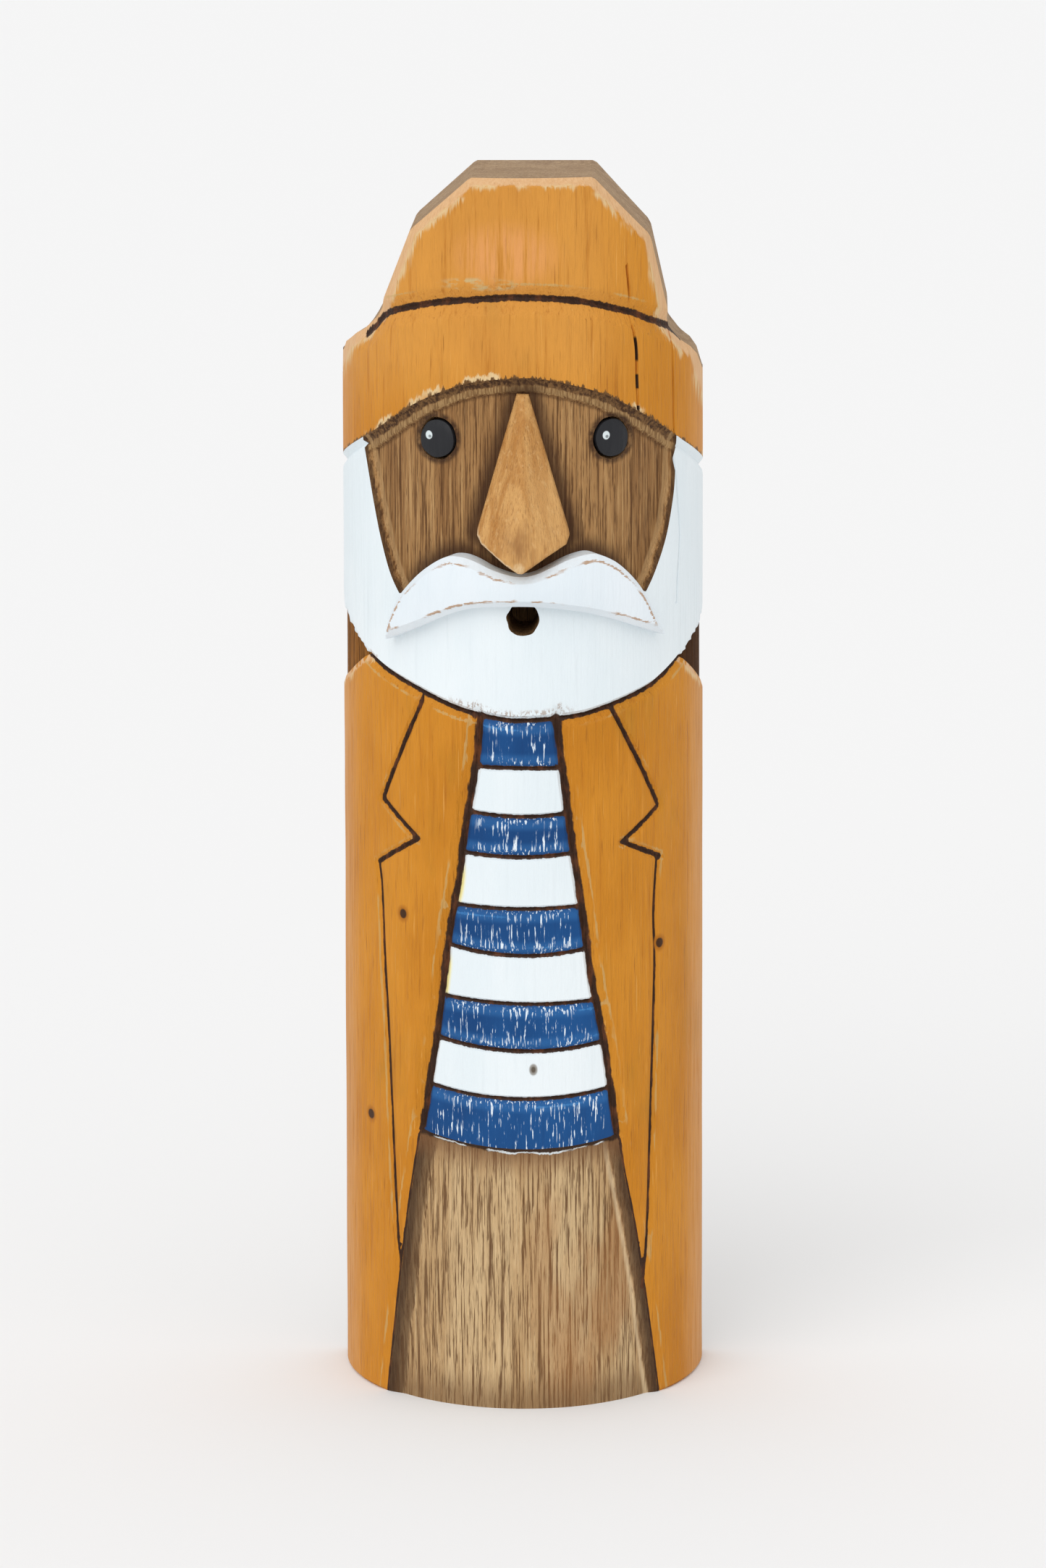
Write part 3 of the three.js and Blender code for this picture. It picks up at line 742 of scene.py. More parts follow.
def band_of(value, rise, fall):
    """1 between a rise and a fall of the value."""
    return times(rise_of(value, *rise), fall_of(value, *fall))


def mixed(mask, under, over):
    made = tree_of(mask).nodes.new("ShaderNodeMix")
    made.data_type = "RGBA"
    for socket, setting in zip((made.inputs[0], made.inputs[6], made.inputs[7]), (mask, under, over)):
        put(socket, setting)
    return made.outputs[2]


def base_coat(shader, mask, under, over):
    put(shader.inputs["Base Color"], mixed(mask, under, over))


def coat(shader, mask, over, cover=None):
    """Lays a colour over the ones a finish has so far."""
    under = shader.inputs["Base Color"].links[0].from_socket
    mask = times(mask, cover) if cover else mask
    put(shader.inputs["Base Color"], mixed(mask, under, over))


def solid_place(tree):
    return tree.nodes.new("ShaderNodeTexCoord").outputs["Object"]


def coordinate(tree, axis):
    """A place's X, Y or Z in the solid wood, in metres."""
    made = tree.nodes.new("ShaderNodeSeparateXYZ")
    put(made.inputs[0], solid_place(tree))
    return made.outputs[axis]


def speckle(tree, across, along, detail=3.0, seed=0.0, roughness=0.6, bend=0.0):
    """Noise in the solid wood: features to the metre across the grain and along it."""
    stretch = tree.nodes.new("ShaderNodeMapping")
    put(stretch.inputs["Vector"], solid_place(tree))
    put(stretch.inputs["Location"], (seed, seed, seed))
    put(stretch.inputs["Scale"], (across, across, along))
    made = tree.nodes.new("ShaderNodeTexNoise")
    settings = {"Scale": 1, "Detail": detail, "Roughness": roughness, "Distortion": bend,
                "Vector": stretch.outputs[0]}
    for label, value in settings.items():
        put(made.inputs[label], value)
    return made.outputs[0]


def length_from(tree, centre, stretch):
    """How far a place is from a centre, both in millimetres, counted in stretches."""
    shift = tree.nodes.new("ShaderNodeMapping")
    shift.vector_type = "TEXTURE"
    put(shift.inputs["Location"], [value * MM for value in centre])
    put(shift.inputs["Scale"], [value * MM for value in stretch])
    put(shift.inputs["Vector"], solid_place(tree))
    made = tree.nodes.new("ShaderNodeVectorMath")
    made.operation = "LENGTH"
    put(made.inputs[0], shift.outputs[0])
    return made.outputs["Value"]


def near_to(tree, centre, stretch, low, high):
    return fall_of(length_from(tree, centre, stretch), low, high)


def carried(tree, name):
    made = tree.nodes.new("ShaderNodeAttribute")
    made.attribute_name = name
    return made.outputs["Fac"]


def effect(name, inputs, outputs):
    """An empty shader group with its sockets; returns it and its two ends."""
    group = bpy.data.node_groups.new(name, "ShaderNodeTree")
    for label, value in inputs.items():
        socket = group.interface.new_socket(label, in_out="INPUT", socket_type="NodeSocketFloat")
        socket.default_value = value
    for label in outputs:
        group.interface.new_socket(label, in_out="OUTPUT", socket_type="NodeSocketFloat")
    start = group.nodes.new("NodeGroupInput")
    end = group.nodes.new("NodeGroupOutput")
    return group, start.outputs, end.inputs


def placed(tree, group, **settings):
    made = tree.nodes.new("ShaderNodeGroup")
    made.node_tree = group
    for label, value in settings.items():
        put(made.inputs[label.replace("_", " ")], value)
    return made.outputs


# Knife lines soaked with dark stain, and ridges where the rubbing took the paint off.
knife_lines, given, made = effect(
    "knife_lines", {"Ragged": 0.5, "Wear Width": 0.5, "Wear Amount": 0.5}, ["Stain", "Wear", "Crack"])
ragged = times(sum_of("SUBTRACT", speckle(knife_lines, 800, 260, 4), 0.5), given["Ragged"])
edge = plus(carried(knife_lines, "stain"), times(ragged, 3.4))
put(made["Stain"], fall_of(edge, 0.85, 1.2))
streaky = times(sum_of("SUBTRACT", speckle(knife_lines, 1500, 160, 3, 9.1), 0.5), given["Wear Width"])
worn_edge = plus(carried(knife_lines, "ridge"), times(streaky, 4.0))
worn = fall_of(sum_of("DIVIDE", worn_edge, given["Wear Width"]), 0.5, 0.95)
patches = plus(speckle(knife_lines, 75, 55, 2, 3.3), given["Wear Amount"])
put(made["Wear"], times(worn, rise_of(patches, 0.9, 1.0)))
split = fall_of(carried(knife_lines, "crack"), 0.12, 0.42)
shown = rise_of(speckle(knife_lines, 60, 150, 1, 5.5), 0.47, 0.55, 0.25, 1.0)
put(made["Crack"], times(split, shown))

# Long fibres of the wood: soft bands, fine dark lines and pores.
wood_grain, _, made = effect("wood_grain", {}, ["Bands", "Lines", "Fibres", "Pores"])
put(made["Bands"], speckle(wood_grain, 95, 7, 3, 8.7, 0.6, 0.4))
put(made["Lines"], speckle(wood_grain, 1500, 34, 4, 5.1, 0.62, 0.5))
put(made["Fibres"], speckle(wood_grain, 2500, 85, 3, 6.3, 0.6, 0.4))
put(made["Pores"], speckle(wood_grain, 2600, 170, 2, 1.7))

# Thin paint pulled down by a stiff brush.
brush_marks, _, made = effect("brush_marks", {}, ["Streaks", "Hairs", "Blotches"])
put(made["Streaks"], speckle(brush_marks, 800, 42, 4, 2.9, 0.62))
put(made["Hairs"], speckle(brush_marks, 1900, 75, 2, 4.2))
put(made["Blotches"], speckle(brush_marks, 42, 20, 3, 6.1))


def finish_of(name, roughness=0.6, shine=0.3):
    material = bpy.data.materials.new(name)
    material.use_nodes = True
    shader = material.node_tree.nodes["Principled BSDF"]
    shader.inputs["Roughness"].default_value = roughness
    shader.inputs["Specular IOR Level"].default_value = shine
    return material, material.node_tree, shader


def bump(shader, height, depth):
    made = tree_of(height).nodes.new("ShaderNodeBump")
    made.inputs["Strength"].default_value = 1.0
    made.inputs["Distance"].default_value = depth
    put(made.inputs["Height"], height)
    put(shader.inputs["Normal"], made.outputs[0])


def set_roughness(shader, value, low, high):
    put(shader.inputs["Roughness"], rise_of(value, 0.25, 0.75, low, high))


LINE_DARK = tint(54, 33, 21)
LINE_BROWN = tint(96, 56, 32)
BARE_PALE = tint(220, 190, 142)
BARE_GREY = tint(196, 164, 106)
BARE_PINK = tint(214, 168, 120)
RING_TURN = 2.4  # of the rings' wave, in radians to the millimetre
# The middles of the knots in the coat, [x, y, z], and of the one in the shirt.
KNOTS = [(-28.3, -13.5, 122.2), (33.5, -9, 114), (-37, -5, 69.6)]
SHIRT_KNOT = (3.2, -24.4, 86)


def line_colour(tree):
    """The stain in the knife lines, uneven from dark to mid brown."""
    return mixed(rise_of(speckle(tree, 420, 160, 3, 4.4), 0.47, 0.72), LINE_DARK, LINE_BROWN)


# Ochre paint of hat and coat, rubbed to pale wood along its edges and sides, with painted light on the
# hat towards the key light and on the crown's middle.
ochre_paint, tree, shader = finish_of("ochre_paint", shine=0.18)
brush = placed(tree, brush_marks)
lines = placed(tree, knife_lines, Ragged=0.42, Wear_Width=0.34, Wear_Amount=0.44)
sideways_place = coordinate(tree, "X")
height = coordinate(tree, "Z")
base_coat(shader, rise_of(brush["Blotches"], 0.35, 0.68), tint(192, 122, 26), tint(205, 135, 38))
olive = rise_of(speckle(tree, 55, 22, 3, 12.5), 0.56, 0.74, 0.0, 0.55)
coat(shader, olive, tint(176, 122, 34))
# painted light: the hat painted paler on its side towards the key light and in its middle
painted_light_on_hat = times(rise_of(height, 0.235, 0.262, 0.0, 0.24), fall_of(sideways_place, 0.012, 0.034))
coat(shader, painted_light_on_hat, tint(232, 176, 104))
coat(shader, rise_of(brush["Streaks"], 0.52, 0.8, 0.0, 0.5), tint(222, 152, 64))
coat(shader, rise_of(brush["Streaks"], 0.47, 0.24, 0.0, 0.6), tint(168, 98, 16))
coat(shader, rise_of(brush["Hairs"], 0.64, 0.74, 0.0, 0.6), tint(140, 80, 20))
coat(shader, rise_of(brush["Hairs"], 0.34, 0.26, 0.0, 0.4), tint(228, 170, 90))
to_side = sum_of("ABSOLUTE", sideways_place)
rubbed_side = times(rise_of(to_side, 0.0385, 0.0436), rise_of(brush["Streaks"], 0.3, 0.62))
rubbed_side = times(rubbed_side, rise_of(height, 0.17, 0.21, 0.74, 0.42))
coat(shader, rubbed_side, tint(212, 158, 104))
# painted light: the crown's middle painted paler where it faces the light, broken up by the brush
# streaks
painted_light_crown = near_to(tree, (-3, -22, 282), (16, 20, 10), 0.3, 1.0)
coat(shader, times(painted_light_crown, rise_of(brush["Streaks"], 0.32, 0.6)), tint(224, 156, 96), 0.75)
rim = plus(carried(tree, "rim"), swing(brush["Streaks"], 2.2))
streaked_rim = plus(rim, swing(brush["Hairs"], 4))
flecks = times(fall_of(streaked_rim, 1.8, 3.0), rise_of(speckle(tree, 120, 70, 2, 2.2), 0.46, 0.55))
coat(shader, flecks, BARE_PALE, 0.9)
pink = mixed(rise_of(brush["Hairs"], 0.3, 0.7), BARE_PINK, tint(222, 180, 134))
coat(shader, fall_of(rim, 1.3, 1.9), pink)
# The brim's lower edge: torn and dark, partly the rough cut's own brown and partly painted shadow
# under the brim, with the bare wood showing here and there above it.
torn = swing(speckle(tree, 900, 260, 3, 10.2, 0.7), 4.5)
hat_gap = plus(carried(tree, "hat_gap"), torn)
bare_patches = sum_of("SUBTRACT", speckle(tree, 70, 30, 2, 7.2), times(sideways_place, 0.8))
on_hat = fall_of(carried(tree, "hat_gap"), 3, 4)
hat_flecks = times(rise_of(hat_gap, -1.6, -0.9), rise_of(bare_patches, 0.54, 0.6))
coat(shader, times(hat_flecks, on_hat), BARE_PALE)
# painted shadow, with the cut's own brown: the ragged dark along the brim's lower edge
torn_edge_and_shadow = times(rise_of(hat_gap, -0.5, 0.0), on_hat)
coat(shader, torn_edge_and_shadow, tint(104, 72, 38))
scraped = near_to(tree, (-9, -22, 275.3), (12, 9, 1.9), 0.5, 1.0)
scraped = times(scraped, rise_of(speckle(tree, 260, 520, 3, 16.1), 0.46, 0.6))
coat(shader, scraped, tint(196, 176, 128), 0.8)
coat(shader, lines["Wear"], BARE_GREY, 0.6)
coat(shader, lines["Crack"], tint(178, 98, 28), 0.7)
# The crack gapes in three places of the brim, [height, half its length].
gap_open = 0.0
for middle_z, reach in ((259.2, 3.4), (251.4, 2.0), (244.9, 0.8)):
    gape = near_to(tree, (28, -12, middle_z), (3, 12, reach), 0.75, 1.0)
    gap_open = sum_of("MAXIMUM", gap_open, gape)
split = fall_of(carried(tree, "crack"), 0.35, 0.6)
coat(shader, times(split, gap_open), tint(52, 32, 18))
coat(shader, lines["Stain"], line_colour(tree))
for knot in KNOTS:
    coat(shader, near_to(tree, knot, (1.7, 3.5, 2.4), 0.6, 1.1), tint(176, 108, 24))
    coat(shader, near_to(tree, knot, (0.9, 2.5, 1.25), 0.8, 1.15), tint(66, 40, 20))
set_roughness(shader, brush["Streaks"], 0.48, 0.66)
bump(shader, plus(brush["Streaks"], times(brush["Hairs"], 0.6)), 0.0005)


def painted(name, dull, bright, streak, wear, wear_width, wear_amount, shine=0.3):
    """Water paint over a whole area, brushed down it and rubbed along its ridges."""
    material, tree, shader = finish_of(name, shine=shine)
    brush = placed(tree, brush_marks)
    lines = placed(tree, knife_lines, Ragged=0.4, Wear_Width=wear_width, Wear_Amount=wear_amount)
    base_coat(shader, rise_of(brush["Blotches"], 0.35, 0.7), dull, bright)
    coat(shader, rise_of(brush["Streaks"], 0.44, 0.24, 0.0, 0.35), streak)
    coat(shader, lines["Wear"], wear)
    set_roughness(shader, brush["Streaks"], 0.45, 0.62)
    bump(shader, brush["Streaks"], 0.00025)
    return material, tree, shader, lines


# White paint of the beard and the shirt, yellowed where the coat's paint ran into two stripes.
white_paint, tree, shader, lines = painted(
    "white_paint", tint(224, 233, 237), tint(231, 238, 241), tint(214, 223, 227),
    tint(160, 120, 84), 0.4, 0.3)
for x, z in ((-14.6, 131.5), (-17.6, 108)):
    yellowed = near_to(tree, (x, -20, z), (3.0, 9, 7.5), 0.4, 1.0)
    yellowed = times(yellowed, fall_of(carried(tree, "coat_gap"), 1.3, 2.4, 0.8))
    coat(shader, yellowed, tint(238, 222, 120))
coat(shader, near_to(tree, SHIRT_KNOT, (1.1, 3, 1.6), 0.7, 1.1), tint(150, 146, 140))
coat(shader, near_to(tree, SHIRT_KNOT, (0.7, 3, 1.0), 0.5, 1.1), tint(92, 82, 70))
coat(shader, lines["Crack"], tint(170, 150, 125), 0.14)
flecks = rise_of(speckle(tree, 1300, 620, 3, 4.6, 0.7), 0.5, 0.58)
flecks = times(flecks, fall_of(carried(tree, "ridge"), 0.3, 1.5))
flecks = times(flecks, near_to(tree, (-3, -24, 174.5), (19, 9, 6), 0.6, 1.0))
coat(shader, flecks, tint(150, 118, 92), 0.65)
coat(shader, lines["Stain"], line_colour(tree))

# Blue paint of the stripes, chipped in short strokes to the white under it.
blue_paint, tree, shader, lines = painted(
    "blue_paint", tint(8, 62, 116), tint(18, 76, 134), tint(8, 54, 106),
    tint(58, 118, 174), 0.3, 0.4, shine=0.2)
ridge_gap = carried(tree, "ridge")
# a lighter blue along the ridges: partly painted highlight on the stripes' bevels, partly the white
# under the blue showing
coat(shader, fall_of(ridge_gap, 0.3, 2.0, 0.35), tint(52, 114, 176))
strokes = plus(speckle(tree, 2200, 210, 3, 7.7, 0.6), fall_of(ridge_gap, 0.2, 1.6, 0.05))
patchy = rise_of(speckle(tree, 210, 190, 2, 1.1), 0.34, 0.5)
patchy = times(patchy, rise_of(carried(tree, "coat_gap"), 2.0, 4.2))
coat(shader, times(rise_of(strokes, 0.53, 0.62, 0.0, 0.22), patchy), tint(70, 128, 184))
coat(shader, times(rise_of(strokes, 0.6, 0.63), patchy), tint(222, 232, 240))
coat(shader, lines["Stain"], line_colour(tree))


def bare_wood(name, pale, dark, line, light, strength=0.8, shine=0.18):
    """Brushed wood whose soft grain has gone down between hard lines."""
    material, tree, shader = finish_of(name, shine=shine)
    grain = placed(tree, wood_grain)
    base_coat(shader, rise_of(grain["Bands"], 0.34, 0.66), dark, pale)
    coat(shader, rise_of(grain["Lines"], 0.46, 0.39, 0.0, strength), line)
    coat(shader, rise_of(grain["Lines"], 0.55, 0.66, 0.0, 0.55), light)
    coat(shader, rise_of(grain["Fibres"], 0.46, 0.38, 0.0, strength), line)
    coat(shader, rise_of(grain["Fibres"], 0.58, 0.68, 0.0, 0.5), light)
    coat(shader, rise_of(grain["Pores"], 0.38, 0.3, 0.0, 0.7 * strength), line)
    set_roughness(shader, grain["Lines"], 0.74, 0.56)
    bump(shader, plus(grain["Lines"], times(grain["Fibres"], 0.7)), 0.0006 * strength)
    return material, tree, shader


# The face: bare wood under a brown stain, darkened with painted shade along hat, nose, moustache and
# cheeks, and with a painted highlight on the cheeks' slopes.
face_wood, tree, shader = bare_wood(
    "face_wood", tint(170, 128, 80), tint(142, 102, 60), tint(90, 58, 30), tint(198, 158, 106), 0.85)
grain = placed(tree, wood_grain)
hat_gap = plus(carried(tree, "hat_gap"), swing(speckle(tree, 700, 300, 3, 3.9), 1.6))
ledge = mixed(rise_of(grain["Pores"], 0.35, 0.65), tint(124, 92, 56), tint(178, 144, 98))
coat(shader, band_of(hat_gap, (1.5, 2.1), (3.1, 3.6)), ledge, 0.85)
# painted shade: a thin dark line in the small step from the ledge down to the face
coat(shader, band_of(hat_gap, (3.2, 3.6), (3.9, 4.6)), tint(84, 54, 30), 0.5)
# the dark band under the hat's edge: partly the rough knife cuts' own burnt brown, partly painted
# shadow of the hat's lower wall
rough_cut_and_shadow = rise_of(speckle(tree, 1300, 700, 3, 6.6), 0.38, 0.66)
rough_cut_and_shadow = mixed(rough_cut_and_shadow, tint(70, 46, 28), tint(128, 94, 58))
coat(shader, fall_of(hat_gap, 1.5, 2.0), rough_cut_and_shadow)
# painted shade: the face darkened round the nose's sides and above the moustache's top, where they
# stand out from it
painted_contact_shade = plus(carried(tree, "glue_gap"), swing(speckle(tree, 300, 120, 3, 2.4), 2.5))
coat(shader, fall_of(painted_contact_shade, 0.8, 5.5, 0.85), tint(62, 38, 21))
cheek_gap = plus(carried(tree, "cheek_gap"), swing(speckle(tree, 500, 120, 3, 12.9), 1.6))
# painted highlight: a lighter tan band on the cheeks' slopes
coat(shader, band_of(cheek_gap, (0.9, 1.3), (2.2, 2.9)), tint(186, 150, 104), 0.6)
# the dark along the beard's edge: partly stain, partly painted shade where the beard stands proud of
# the face
coat(shader, fall_of(cheek_gap, 0.4, 0.9, 0.8), tint(74, 50, 30))
scorch = rise_of(speckle(tree, 600, 600, 3, 9.9), 0.3, 0.6, 0.45, 0.95)
for angle in EYE_ANGLES.values():
    middle = (rolled(np.array([skin(angle, EYE_Z)]), FACE_RISE)[0] / MM).tolist()
    ring_mask = near_to(tree, middle, (6.1, 9, 6.3), 0.86, 1.05)
    coat(shader, times(ring_mask, scorch), tint(66, 43, 26))

# The trousers: the same wood, less stain, darker at the foot and below the shirt, with painted shade
# in the slopes down from the coat, partly their own stain, a painted shadow under the shirt's edge, a
# painted highlight along one slope, and the white paint that ran over the shirt's edge.
trouser_wood, tree, shader = bare_wood(
    "trouser_wood", tint(208, 178, 134), tint(188, 153, 108), tint(100, 68, 40),
    tint(222, 193, 148), 0.86)
sideways_place = coordinate(tree, "X")
washed = rise_of(speckle(tree, 60, 22, 3, 14.2), 0.44, 0.62, 0.0, 0.55)
coat(shader, times(washed, rise_of(sideways_place, -0.004, 0.012)), tint(162, 110, 62))
ragged = swing(speckle(tree, 420, 90, 3, 5.9), 2.0)
foot = plus(times(coordinate(tree, "Z"), 1 / MM), times(ragged, 2))
coat(shader, fall_of(foot, 1.5, 11, 0.62), tint(120, 88, 56))
slope = plus(carried(tree, "coat_gap"), ragged)
left_half = rise_of(sideways_place, -0.001, 0.001)
# painted highlight: a light line along the inner edge of the narrower slope, on the positive-x side
lit_edge = times(band_of(slope, (2.2, 3.0), (3.2, 4.2)), left_half)
coat(shader, lit_edge, tint(226, 200, 160), 0.6)
# painted shade, with the slopes' own stain: the slopes down from the coat darkened, most at the coat's
# edge
slope_width = rise_of(left_half, 0.0, 1.0, 4.6, 2.7)
share = sum_of("DIVIDE", slope, slope_width)
coat(shader, fall_of(share, 0.72, 1.0, 0.8), tint(92, 66, 42))
coat(shader, fall_of(share, 0.2, 0.6, 0.6), tint(58, 38, 24))
under_hem = plus(carried(tree, "hem_gap"), ragged)
coat(shader, fall_of(under_hem, 1.0, 9, 0.75), tint(126, 88, 56))
# painted shadow: a dark line right under the shirt's edge
coat(shader, fall_of(under_hem, 0.9, 1.7, 0.92), tint(52, 34, 24))
spill_edge = plus(under_hem, times(speckle(tree, 90, 40, 2, 3.5), 1.6))
spill = band_of(spill_edge, (1.75, 1.9), (2.25, 2.45))
spill = times(spill, rise_of(speckle(tree, 120, 40, 2, 15.5), 0.49, 0.55))
coat(shader, times(spill, rise_of(carried(tree, "coat_gap"), 3, 4.5)), tint(232, 238, 240))
lines = placed(tree, knife_lines, Ragged=0.5, Wear_Width=0.5, Wear_Amount=0.3)
coat(shader, lines["Stain"], line_colour(tree))

# The neck's notches, stained like the face, with the left one painted darker as shade.
neck_wood, tree, shader = bare_wood(
    "neck_wood", tint(150, 98, 44), tint(118, 74, 32), tint(64, 38, 16), tint(172, 120, 62),
    shine=0.03)
# painted shade: the notch at positive x darkened
coat(shader, rise_of(coordinate(tree, "X"), 0.0, 0.001, 0.0, 0.8), tint(48, 26, 12))

# Where the saw went, the wood is bare and greyed, with the log's rings round its axis.
sawn_wood, tree, shader = bare_wood(
    "sawn_wood", tint(178, 148, 112), tint(158, 128, 94), tint(120, 92, 64), tint(192, 164, 130), 0.55)
turns = times(length_from(tree, (0, AXIS_Y, 0), (1, 1, 1000)), RING_TURN)
turns = plus(turns, times(speckle(tree, 45, 9, 3, 17.3), 9))
coat(shader, rise_of(sum_of("SINE", turns), 0.1, 1.0), tint(128, 98, 68), 0.38)

# The drilled mouth and the eyes' seats are burnt.
burnt_wood, tree, shader = bare_wood(
    "burnt_wood", tint(132, 98, 62), tint(104, 74, 44), tint(60, 40, 22), tint(150, 114, 74))

for material in (ochre_paint, white_paint, blue_paint, face_wood, trouser_wood, neck_wood,
                 sawn_wood, burnt_wood):
    block.data.materials.append(material)
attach(block, "root")
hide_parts("body_block")

# ---------------------------------------------------------------------------------------------
# The moustache. A wavy slab about 5 mm thick, bent round the log over the join of face and beard,
# with a whittled bevel all round, painted white and rubbed to the wood along the bevel's ridges.

MOUSTACHE_FRONT = 5.2  # its front face, above the log
MOUSTACHE_BEVEL = 1.5
BEVEL_DEPTH = 1.4
MOUSTACHE_CROWN = 0.5
GLUE_DEPTH = 0.3
LIP_Z = 202  # where the face's recess ends behind it
PROUD_SPREAD = 1.11  # how much wider a place this proud looks than its arc on the log
upper_edge = [(-33.4, 189.6), (-32.6, 193.6), (-30.2, 199.6), (-27, 204), (-23, 207.9),
              (-18.2, 210.9), (-14.6, 211.3), (-11, 210.4), (-6.8, 208.5), (-2.6, 207.2),
              (0.6, 206.8), (4, 207.3), (8, 208.9), (12, 210.6), (15.6, 211.6), (18.6, 211.8),
              (22, 210.5), (25, 208.4), (28.6, 204.5), (31.4, 200), (33.8, 194.4), (36, 190.4)]
lower_edge = [(36, 190.4), (29.5, 193.3), (21.5, 196.4), (14.2, 198.3), (4.1, 199.6),
              (-7.5, 199.5), (-13.5, 198.6), (-18.5, 196.8), (-25.5, 193.4), (-33.4, 189.6)]
upper_run = smooth_run([seen(x / PROUD_SPREAD, z) for x, z in upper_edge], 0.7, unrolled=True)
lower_run = smooth_run([seen(x / PROUD_SPREAD, z) for x, z in lower_edge], 0.7, unrolled=True)
slab_edge = np.concatenate([upper_run[:-1], lower_run[:-1]])
ridge_rows = [sideways(run, -offset) for run in (upper_run, lower_run)
              for offset in (MOUSTACHE_BEVEL, MOUSTACHE_BEVEL / 2)]
slab_points, slab_faces = carved_sheet(slab_edge, ridge_rows, spacing=0.8)
inwards = gap_to(slab_points, 30, np.concatenate([slab_edge, slab_edge[:1]]))
slab_rises = MOUSTACHE_FRONT - BEVEL_DEPTH * (1 - np.clip(inwards / MOUSTACHE_BEVEL, 0, 1))
slab_rises -= MOUSTACHE_CROWN * (1 - np.clip(inwards / 7, 0, 1)) ** 2
waves = [noise.noise(Vector((arc / 7, z / 6, 4.5))) for arc, z in slab_points]
slab_rises -= 0.2 * (1 + np.array(waves)) / 2
slab, carving = piece_from_sheet(
    "carved_moustache", "moustache_carved", rolled(slab_points, slab_rises), slab_faces,
    {"ridge": np.abs(inwards - MOUSTACHE_BEVEL)})


def drawn_back(carving):
    """Draws a sheet's open edge out into walls; returns the vertices at their far end."""
    made = bmesh.ops.extrude_edge_only(carving, edges=open_edges(carving))["geom"]
    return [item for item in made if isinstance(item, bmesh.types.BMVert)]


for vertex in drawn_back(carving):
    x, y, z = vertex.co / MM
    turn = math.atan2(x, AXIS_Y - y)
    radius = radius_at(z) - GLUE_DEPTH + (FACE_RISE if z > LIP_Z else 0)
    vertex.co = Vector((radius * math.sin(turn), AXIS_Y - radius * math.cos(turn), z)) * MM
    vertex[carving.verts.layers.float["ridge"]] = MARK_REACH
bmesh.ops.triangle_fill(carving, edges=open_edges(carving), use_beauty=True)
close_piece(slab, carving, degrees=30)

moustache_paint, tree, shader = finish_of("moustache_paint")
brush = placed(tree, brush_marks)
base_coat(shader, rise_of(brush["Blotches"], 0.35, 0.7), tint(221, 230, 236), tint(229, 236, 241))
coat(shader, rise_of(brush["Streaks"], 0.44, 0.24, 0.0, 0.25), tint(210, 219, 225))
hatched = swing(speckle(tree, 380, 1700, 3, 2.6, 0.7), 1.8)
worn = fall_of(plus(carried(tree, "ridge"), hatched), 0.12, 0.3)
worn = times(worn, rise_of(speckle(tree, 110, 110, 2, 5.3), 0.43, 0.53))
coat(shader, worn, tint(176, 140, 108), 0.9)
set_roughness(shader, brush["Streaks"], 0.45, 0.62)
bump(shader, brush["Streaks"], 0.00025)
slab.data.materials.append(moustache_paint)
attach(slab, "root")
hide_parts("moustache")

# ---------------------------------------------------------------------------------------------
# The nose. A long wedge whittled from a pale offcut: two side cuts meet in a soft ridge that runs
# down to a flatter, leaf-shaped cut over its lower half, which ends in a blunt tip of end grain.
# It is glued on the bare face.

# Its outline from the front, [x, height].
NOSE_OUTLINE = [(-0.5, 249.6), (2.3, 249.5), (11.7, 217.2), (11.9, 216.1), (11.2, 214.2),
                (6.6, 211.8), (1.7, 208.5), (0.9, 208), (-0.1, 208.1), (-8.9, 214.3),
                (-9.9, 216.2), (-9.8, 217.6)]
# Its three cuts: how proud of the log's front at the ridge's foot, and its rise per x and height.
RIDGE_FOOT = (0.9, 219)
NOSE_CUTS = [(8.9, 0.93, -0.285), (8.9, -0.93, -0.285), (7.5, -0.2, 0.07)]
RIDGE_SOFTNESS = 0.7
NOSE_EASED = 0.6
NOSE_GLUE_DEPTH = 0.4


def nose_rise(points):
    """How proud of the log's front line the nose is at each [x, height]."""
    x, z = (points - RIDGE_FOOT).T
    cuts = [start + across * x + up * z for start, across, up in NOSE_CUTS]
    rise = -RIDGE_SOFTNESS * np.log(sum(np.exp(-cut / RIDGE_SOFTNESS) for cut in cuts))
    waves = [noise.noise(Vector((place[0] / 5, place[1] / 8, 7.5))) for place in points]
    return rise + 0.16 * np.array(waves)


nose_edge = straight_run(NOSE_OUTLINE + NOSE_OUTLINE[:1], 0.5)[:-1]
nose_points, nose_faces = carved_sheet(nose_edge, [], spacing=0.5)
inwards = gap_to(nose_points, 12, np.concatenate([nose_edge, nose_edge[:1]]))
inwards = np.minimum(inwards, MARK_REACH)
rounded = np.clip(1 - inwards / NOSE_EASED, 0, 1) ** 2 * NOSE_EASED * 0.7
proud = nose_rise(nose_points) - rounded
nose_places = np.stack(
    [nose_points[:, 0], AXIS_Y - radius_at(nose_points[:, 1]) - proud, nose_points[:, 1]], 1) * MM
nose, carving = piece_from_sheet(
    "whittled_nose", "nose_whittled", nose_places, nose_faces, {"rim": inwards})
for vertex in drawn_back(carving):
    x, _, z = vertex.co / MM
    radius = radius_at(z) + FACE_RISE - NOSE_GLUE_DEPTH
    vertex.co.y = (AXIS_Y - math.sqrt(radius**2 - x**2)) * MM
    vertex[carving.verts.layers.float["rim"]] = 0
bmesh.ops.triangle_fill(carving, edges=open_edges(carving), use_beauty=True)
close_piece(nose, carving, degrees=40)

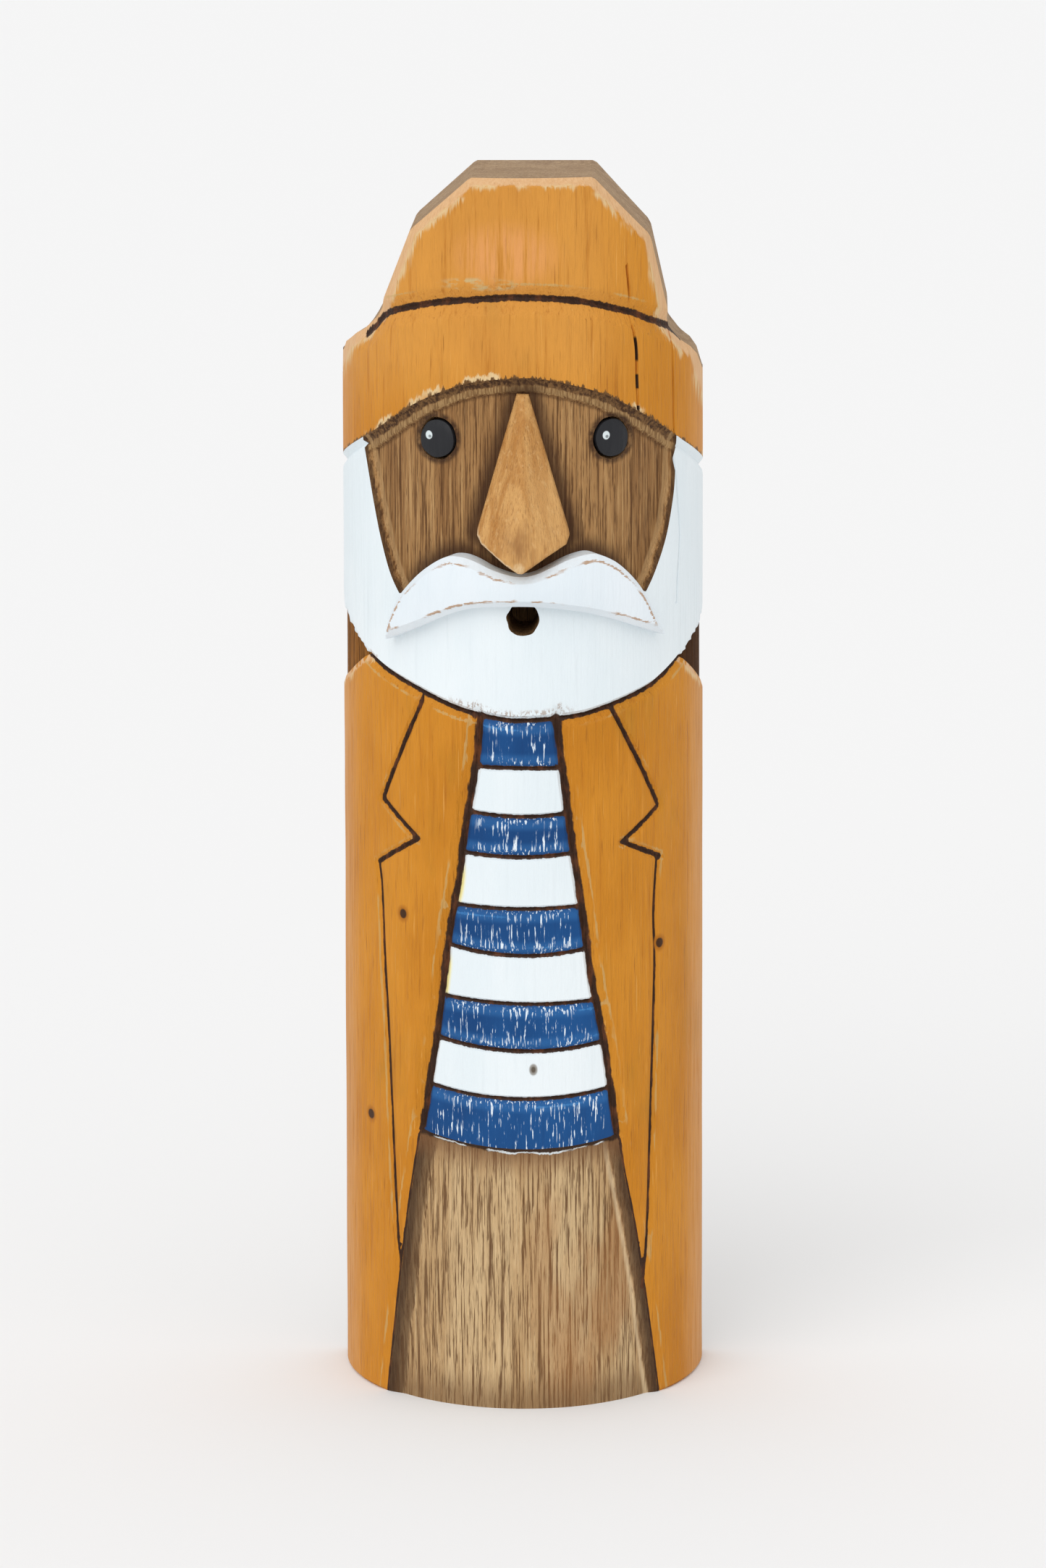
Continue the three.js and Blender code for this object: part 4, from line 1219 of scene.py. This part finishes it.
nose_wood, tree, shader = finish_of("nose_wood", shine=0.2)
grain = placed(tree, wood_grain)
flow = speckle(tree, 210, 26, 3, 3.1, 0.6, 0.6)
base_coat(shader, rise_of(flow, 0.32, 0.62), tint(182, 126, 64), tint(211, 161, 98))
coat(shader, rise_of(grain["Fibres"], 0.5, 0.34, 0.0, 0.5), tint(160, 106, 54))
coat(shader, rise_of(grain["Pores"], 0.4, 0.3, 0.0, 0.5), tint(134, 86, 44))
coat(shader, rise_of(speckle(tree, 900, 600, 3, 13.1), 0.56, 0.7, 0.0, 0.4), tint(222, 180, 124))
# painted shade: the nose's lower part, which turns down towards the face, darkened
painted_shade_lower_nose = near_to(tree, (2.5, -29, 215), (9, 9, 7), 0.4, 1.0)
painted_shade_lower_nose = times(painted_shade_lower_nose, rise_of(speckle(tree, 160, 90, 3, 11.3), 0.37, 0.62))
coat(shader, painted_shade_lower_nose, tint(156, 108, 62), 0.75)
# painted light: the side cut at positive x, turned away from the key light, painted lighter against
# its shade
coat(shader, near_to(tree, (7, -28, 226), (6, 12, 16), 0.2, 1.0), tint(226, 178, 114), 0.4)
rim = plus(carried(tree, "rim"), swing(speckle(tree, 900, 500, 3, 8.8), 0.9))
# painted highlight, with a little wear: a pale line along the eased lower edge on the negative-x side,
# where it catches the light
highlight_and_wear_rim = times(fall_of(rim, 0.15, 0.5), near_to(tree, (-5.5, -26, 213), (8, 12, 7), 0.7, 1.0))
coat(shader, highlight_and_wear_rim, tint(232, 206, 168), 0.8)
coat(shader, fall_of(rim, 0.0, 0.25, 0.35), tint(132, 86, 46))
end_grain = near_to(tree, (0.1, -28, 209.3), (1.9, 9, 1.9), 0.55, 1.0)
end_grain = times(end_grain, rise_of(speckle(tree, 1500, 900, 3, 12.2), 0.3, 0.6, 0.4, 1.0))
coat(shader, end_grain, tint(226, 194, 148), 0.85)
set_roughness(shader, grain["Lines"], 0.64, 0.5)
bump(shader, plus(grain["Fibres"], grain["Pores"]), 0.0003)
nose.data.materials.append(nose_wood)
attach(nose, "root")
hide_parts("nose")

# ---------------------------------------------------------------------------------------------
# The eyes. Round pegs with a slightly domed end, pressed into burnt seats, painted black, with a
# dab of white on each.

EYE_RADIUS = 4.45
EYE_DOME = 0.55
PEG_LENGTH = 5
PEG_PROUD = 0.2  # how far its flat end stands out of the face, under the dome
eye_dots = {"eye_right": (-23.3, 239.1), "eye_left": (22.3, 239.1)}
for name, angle in EYE_ANGLES.items():
    turn = math.radians(angle)
    outwards = Vector((math.sin(turn), -math.cos(turn), 0))
    seat = Vector(rolled(np.array([skin(angle, EYE_Z)]), FACE_RISE)[0].tolist())
    bpy.ops.object.select_all(action="DESELECT")
    bpy.ops.mesh.primitive_cylinder_add(
        vertices=48, radius=EYE_RADIUS * MM, depth=PEG_LENGTH * MM, end_fill_type="TRIFAN")
    eye = bpy.context.object
    eye.name = "painted_" + name
    bpy.ops.object.mode_set(mode="EDIT")
    bpy.ops.mesh.select_all(action="SELECT")
    bpy.ops.mesh.subdivide(number_cuts=5)
    bpy.ops.object.mode_set(mode="OBJECT")
    axis_turn = outwards.to_track_quat("Z", "Y")
    for vertex in eye.data.vertices:
        out = math.hypot(vertex.co.x, vertex.co.y) / (EYE_RADIUS * MM)
        if vertex.co.z > 0.48 * PEG_LENGTH * MM:
            vertex.co.z += EYE_DOME * MM * (1 - min(1, out) ** 4)
        vertex.co.z -= (PEG_LENGTH / 2 - PEG_PROUD) * MM
        vertex.co = seat + axis_turn @ vertex.co
        vertex.co += noise.noise_vector(vertex.co / 0.0035) * 0.00022
    smooth_piece(eye, degrees=50)

    paint, tree, shader = finish_of(name + "_paint", 0.5)
    brush = placed(tree, brush_marks)
    base_coat(shader, rise_of(brush["Blotches"], 0.3, 0.7), tint(25, 26, 30), tint(34, 35, 39))
    dot_arc, dot_z = eye_dots[name]
    dot = rolled(np.array([(dot_arc, dot_z)]), FACE_RISE + EYE_DOME)[0] / MM
    coat(shader, near_to(tree, dot, (0.85, 1.6, 1.0), 0.88, 1.12), tint(214, 224, 226))
    pupil = near_to(tree, (dot[0] + 0.2, dot[1], dot[2] - 0.3), (0.5, 1.6, 0.5), 0.5, 1.0)
    coat(shader, pupil, tint(60, 62, 66), 0.7)
    set_roughness(shader, brush["Streaks"], 0.42, 0.6)
    bump(shader, brush["Streaks"], 0.0003)
    eye.data.materials.append(paint)
    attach(eye, "root")
    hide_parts(name)
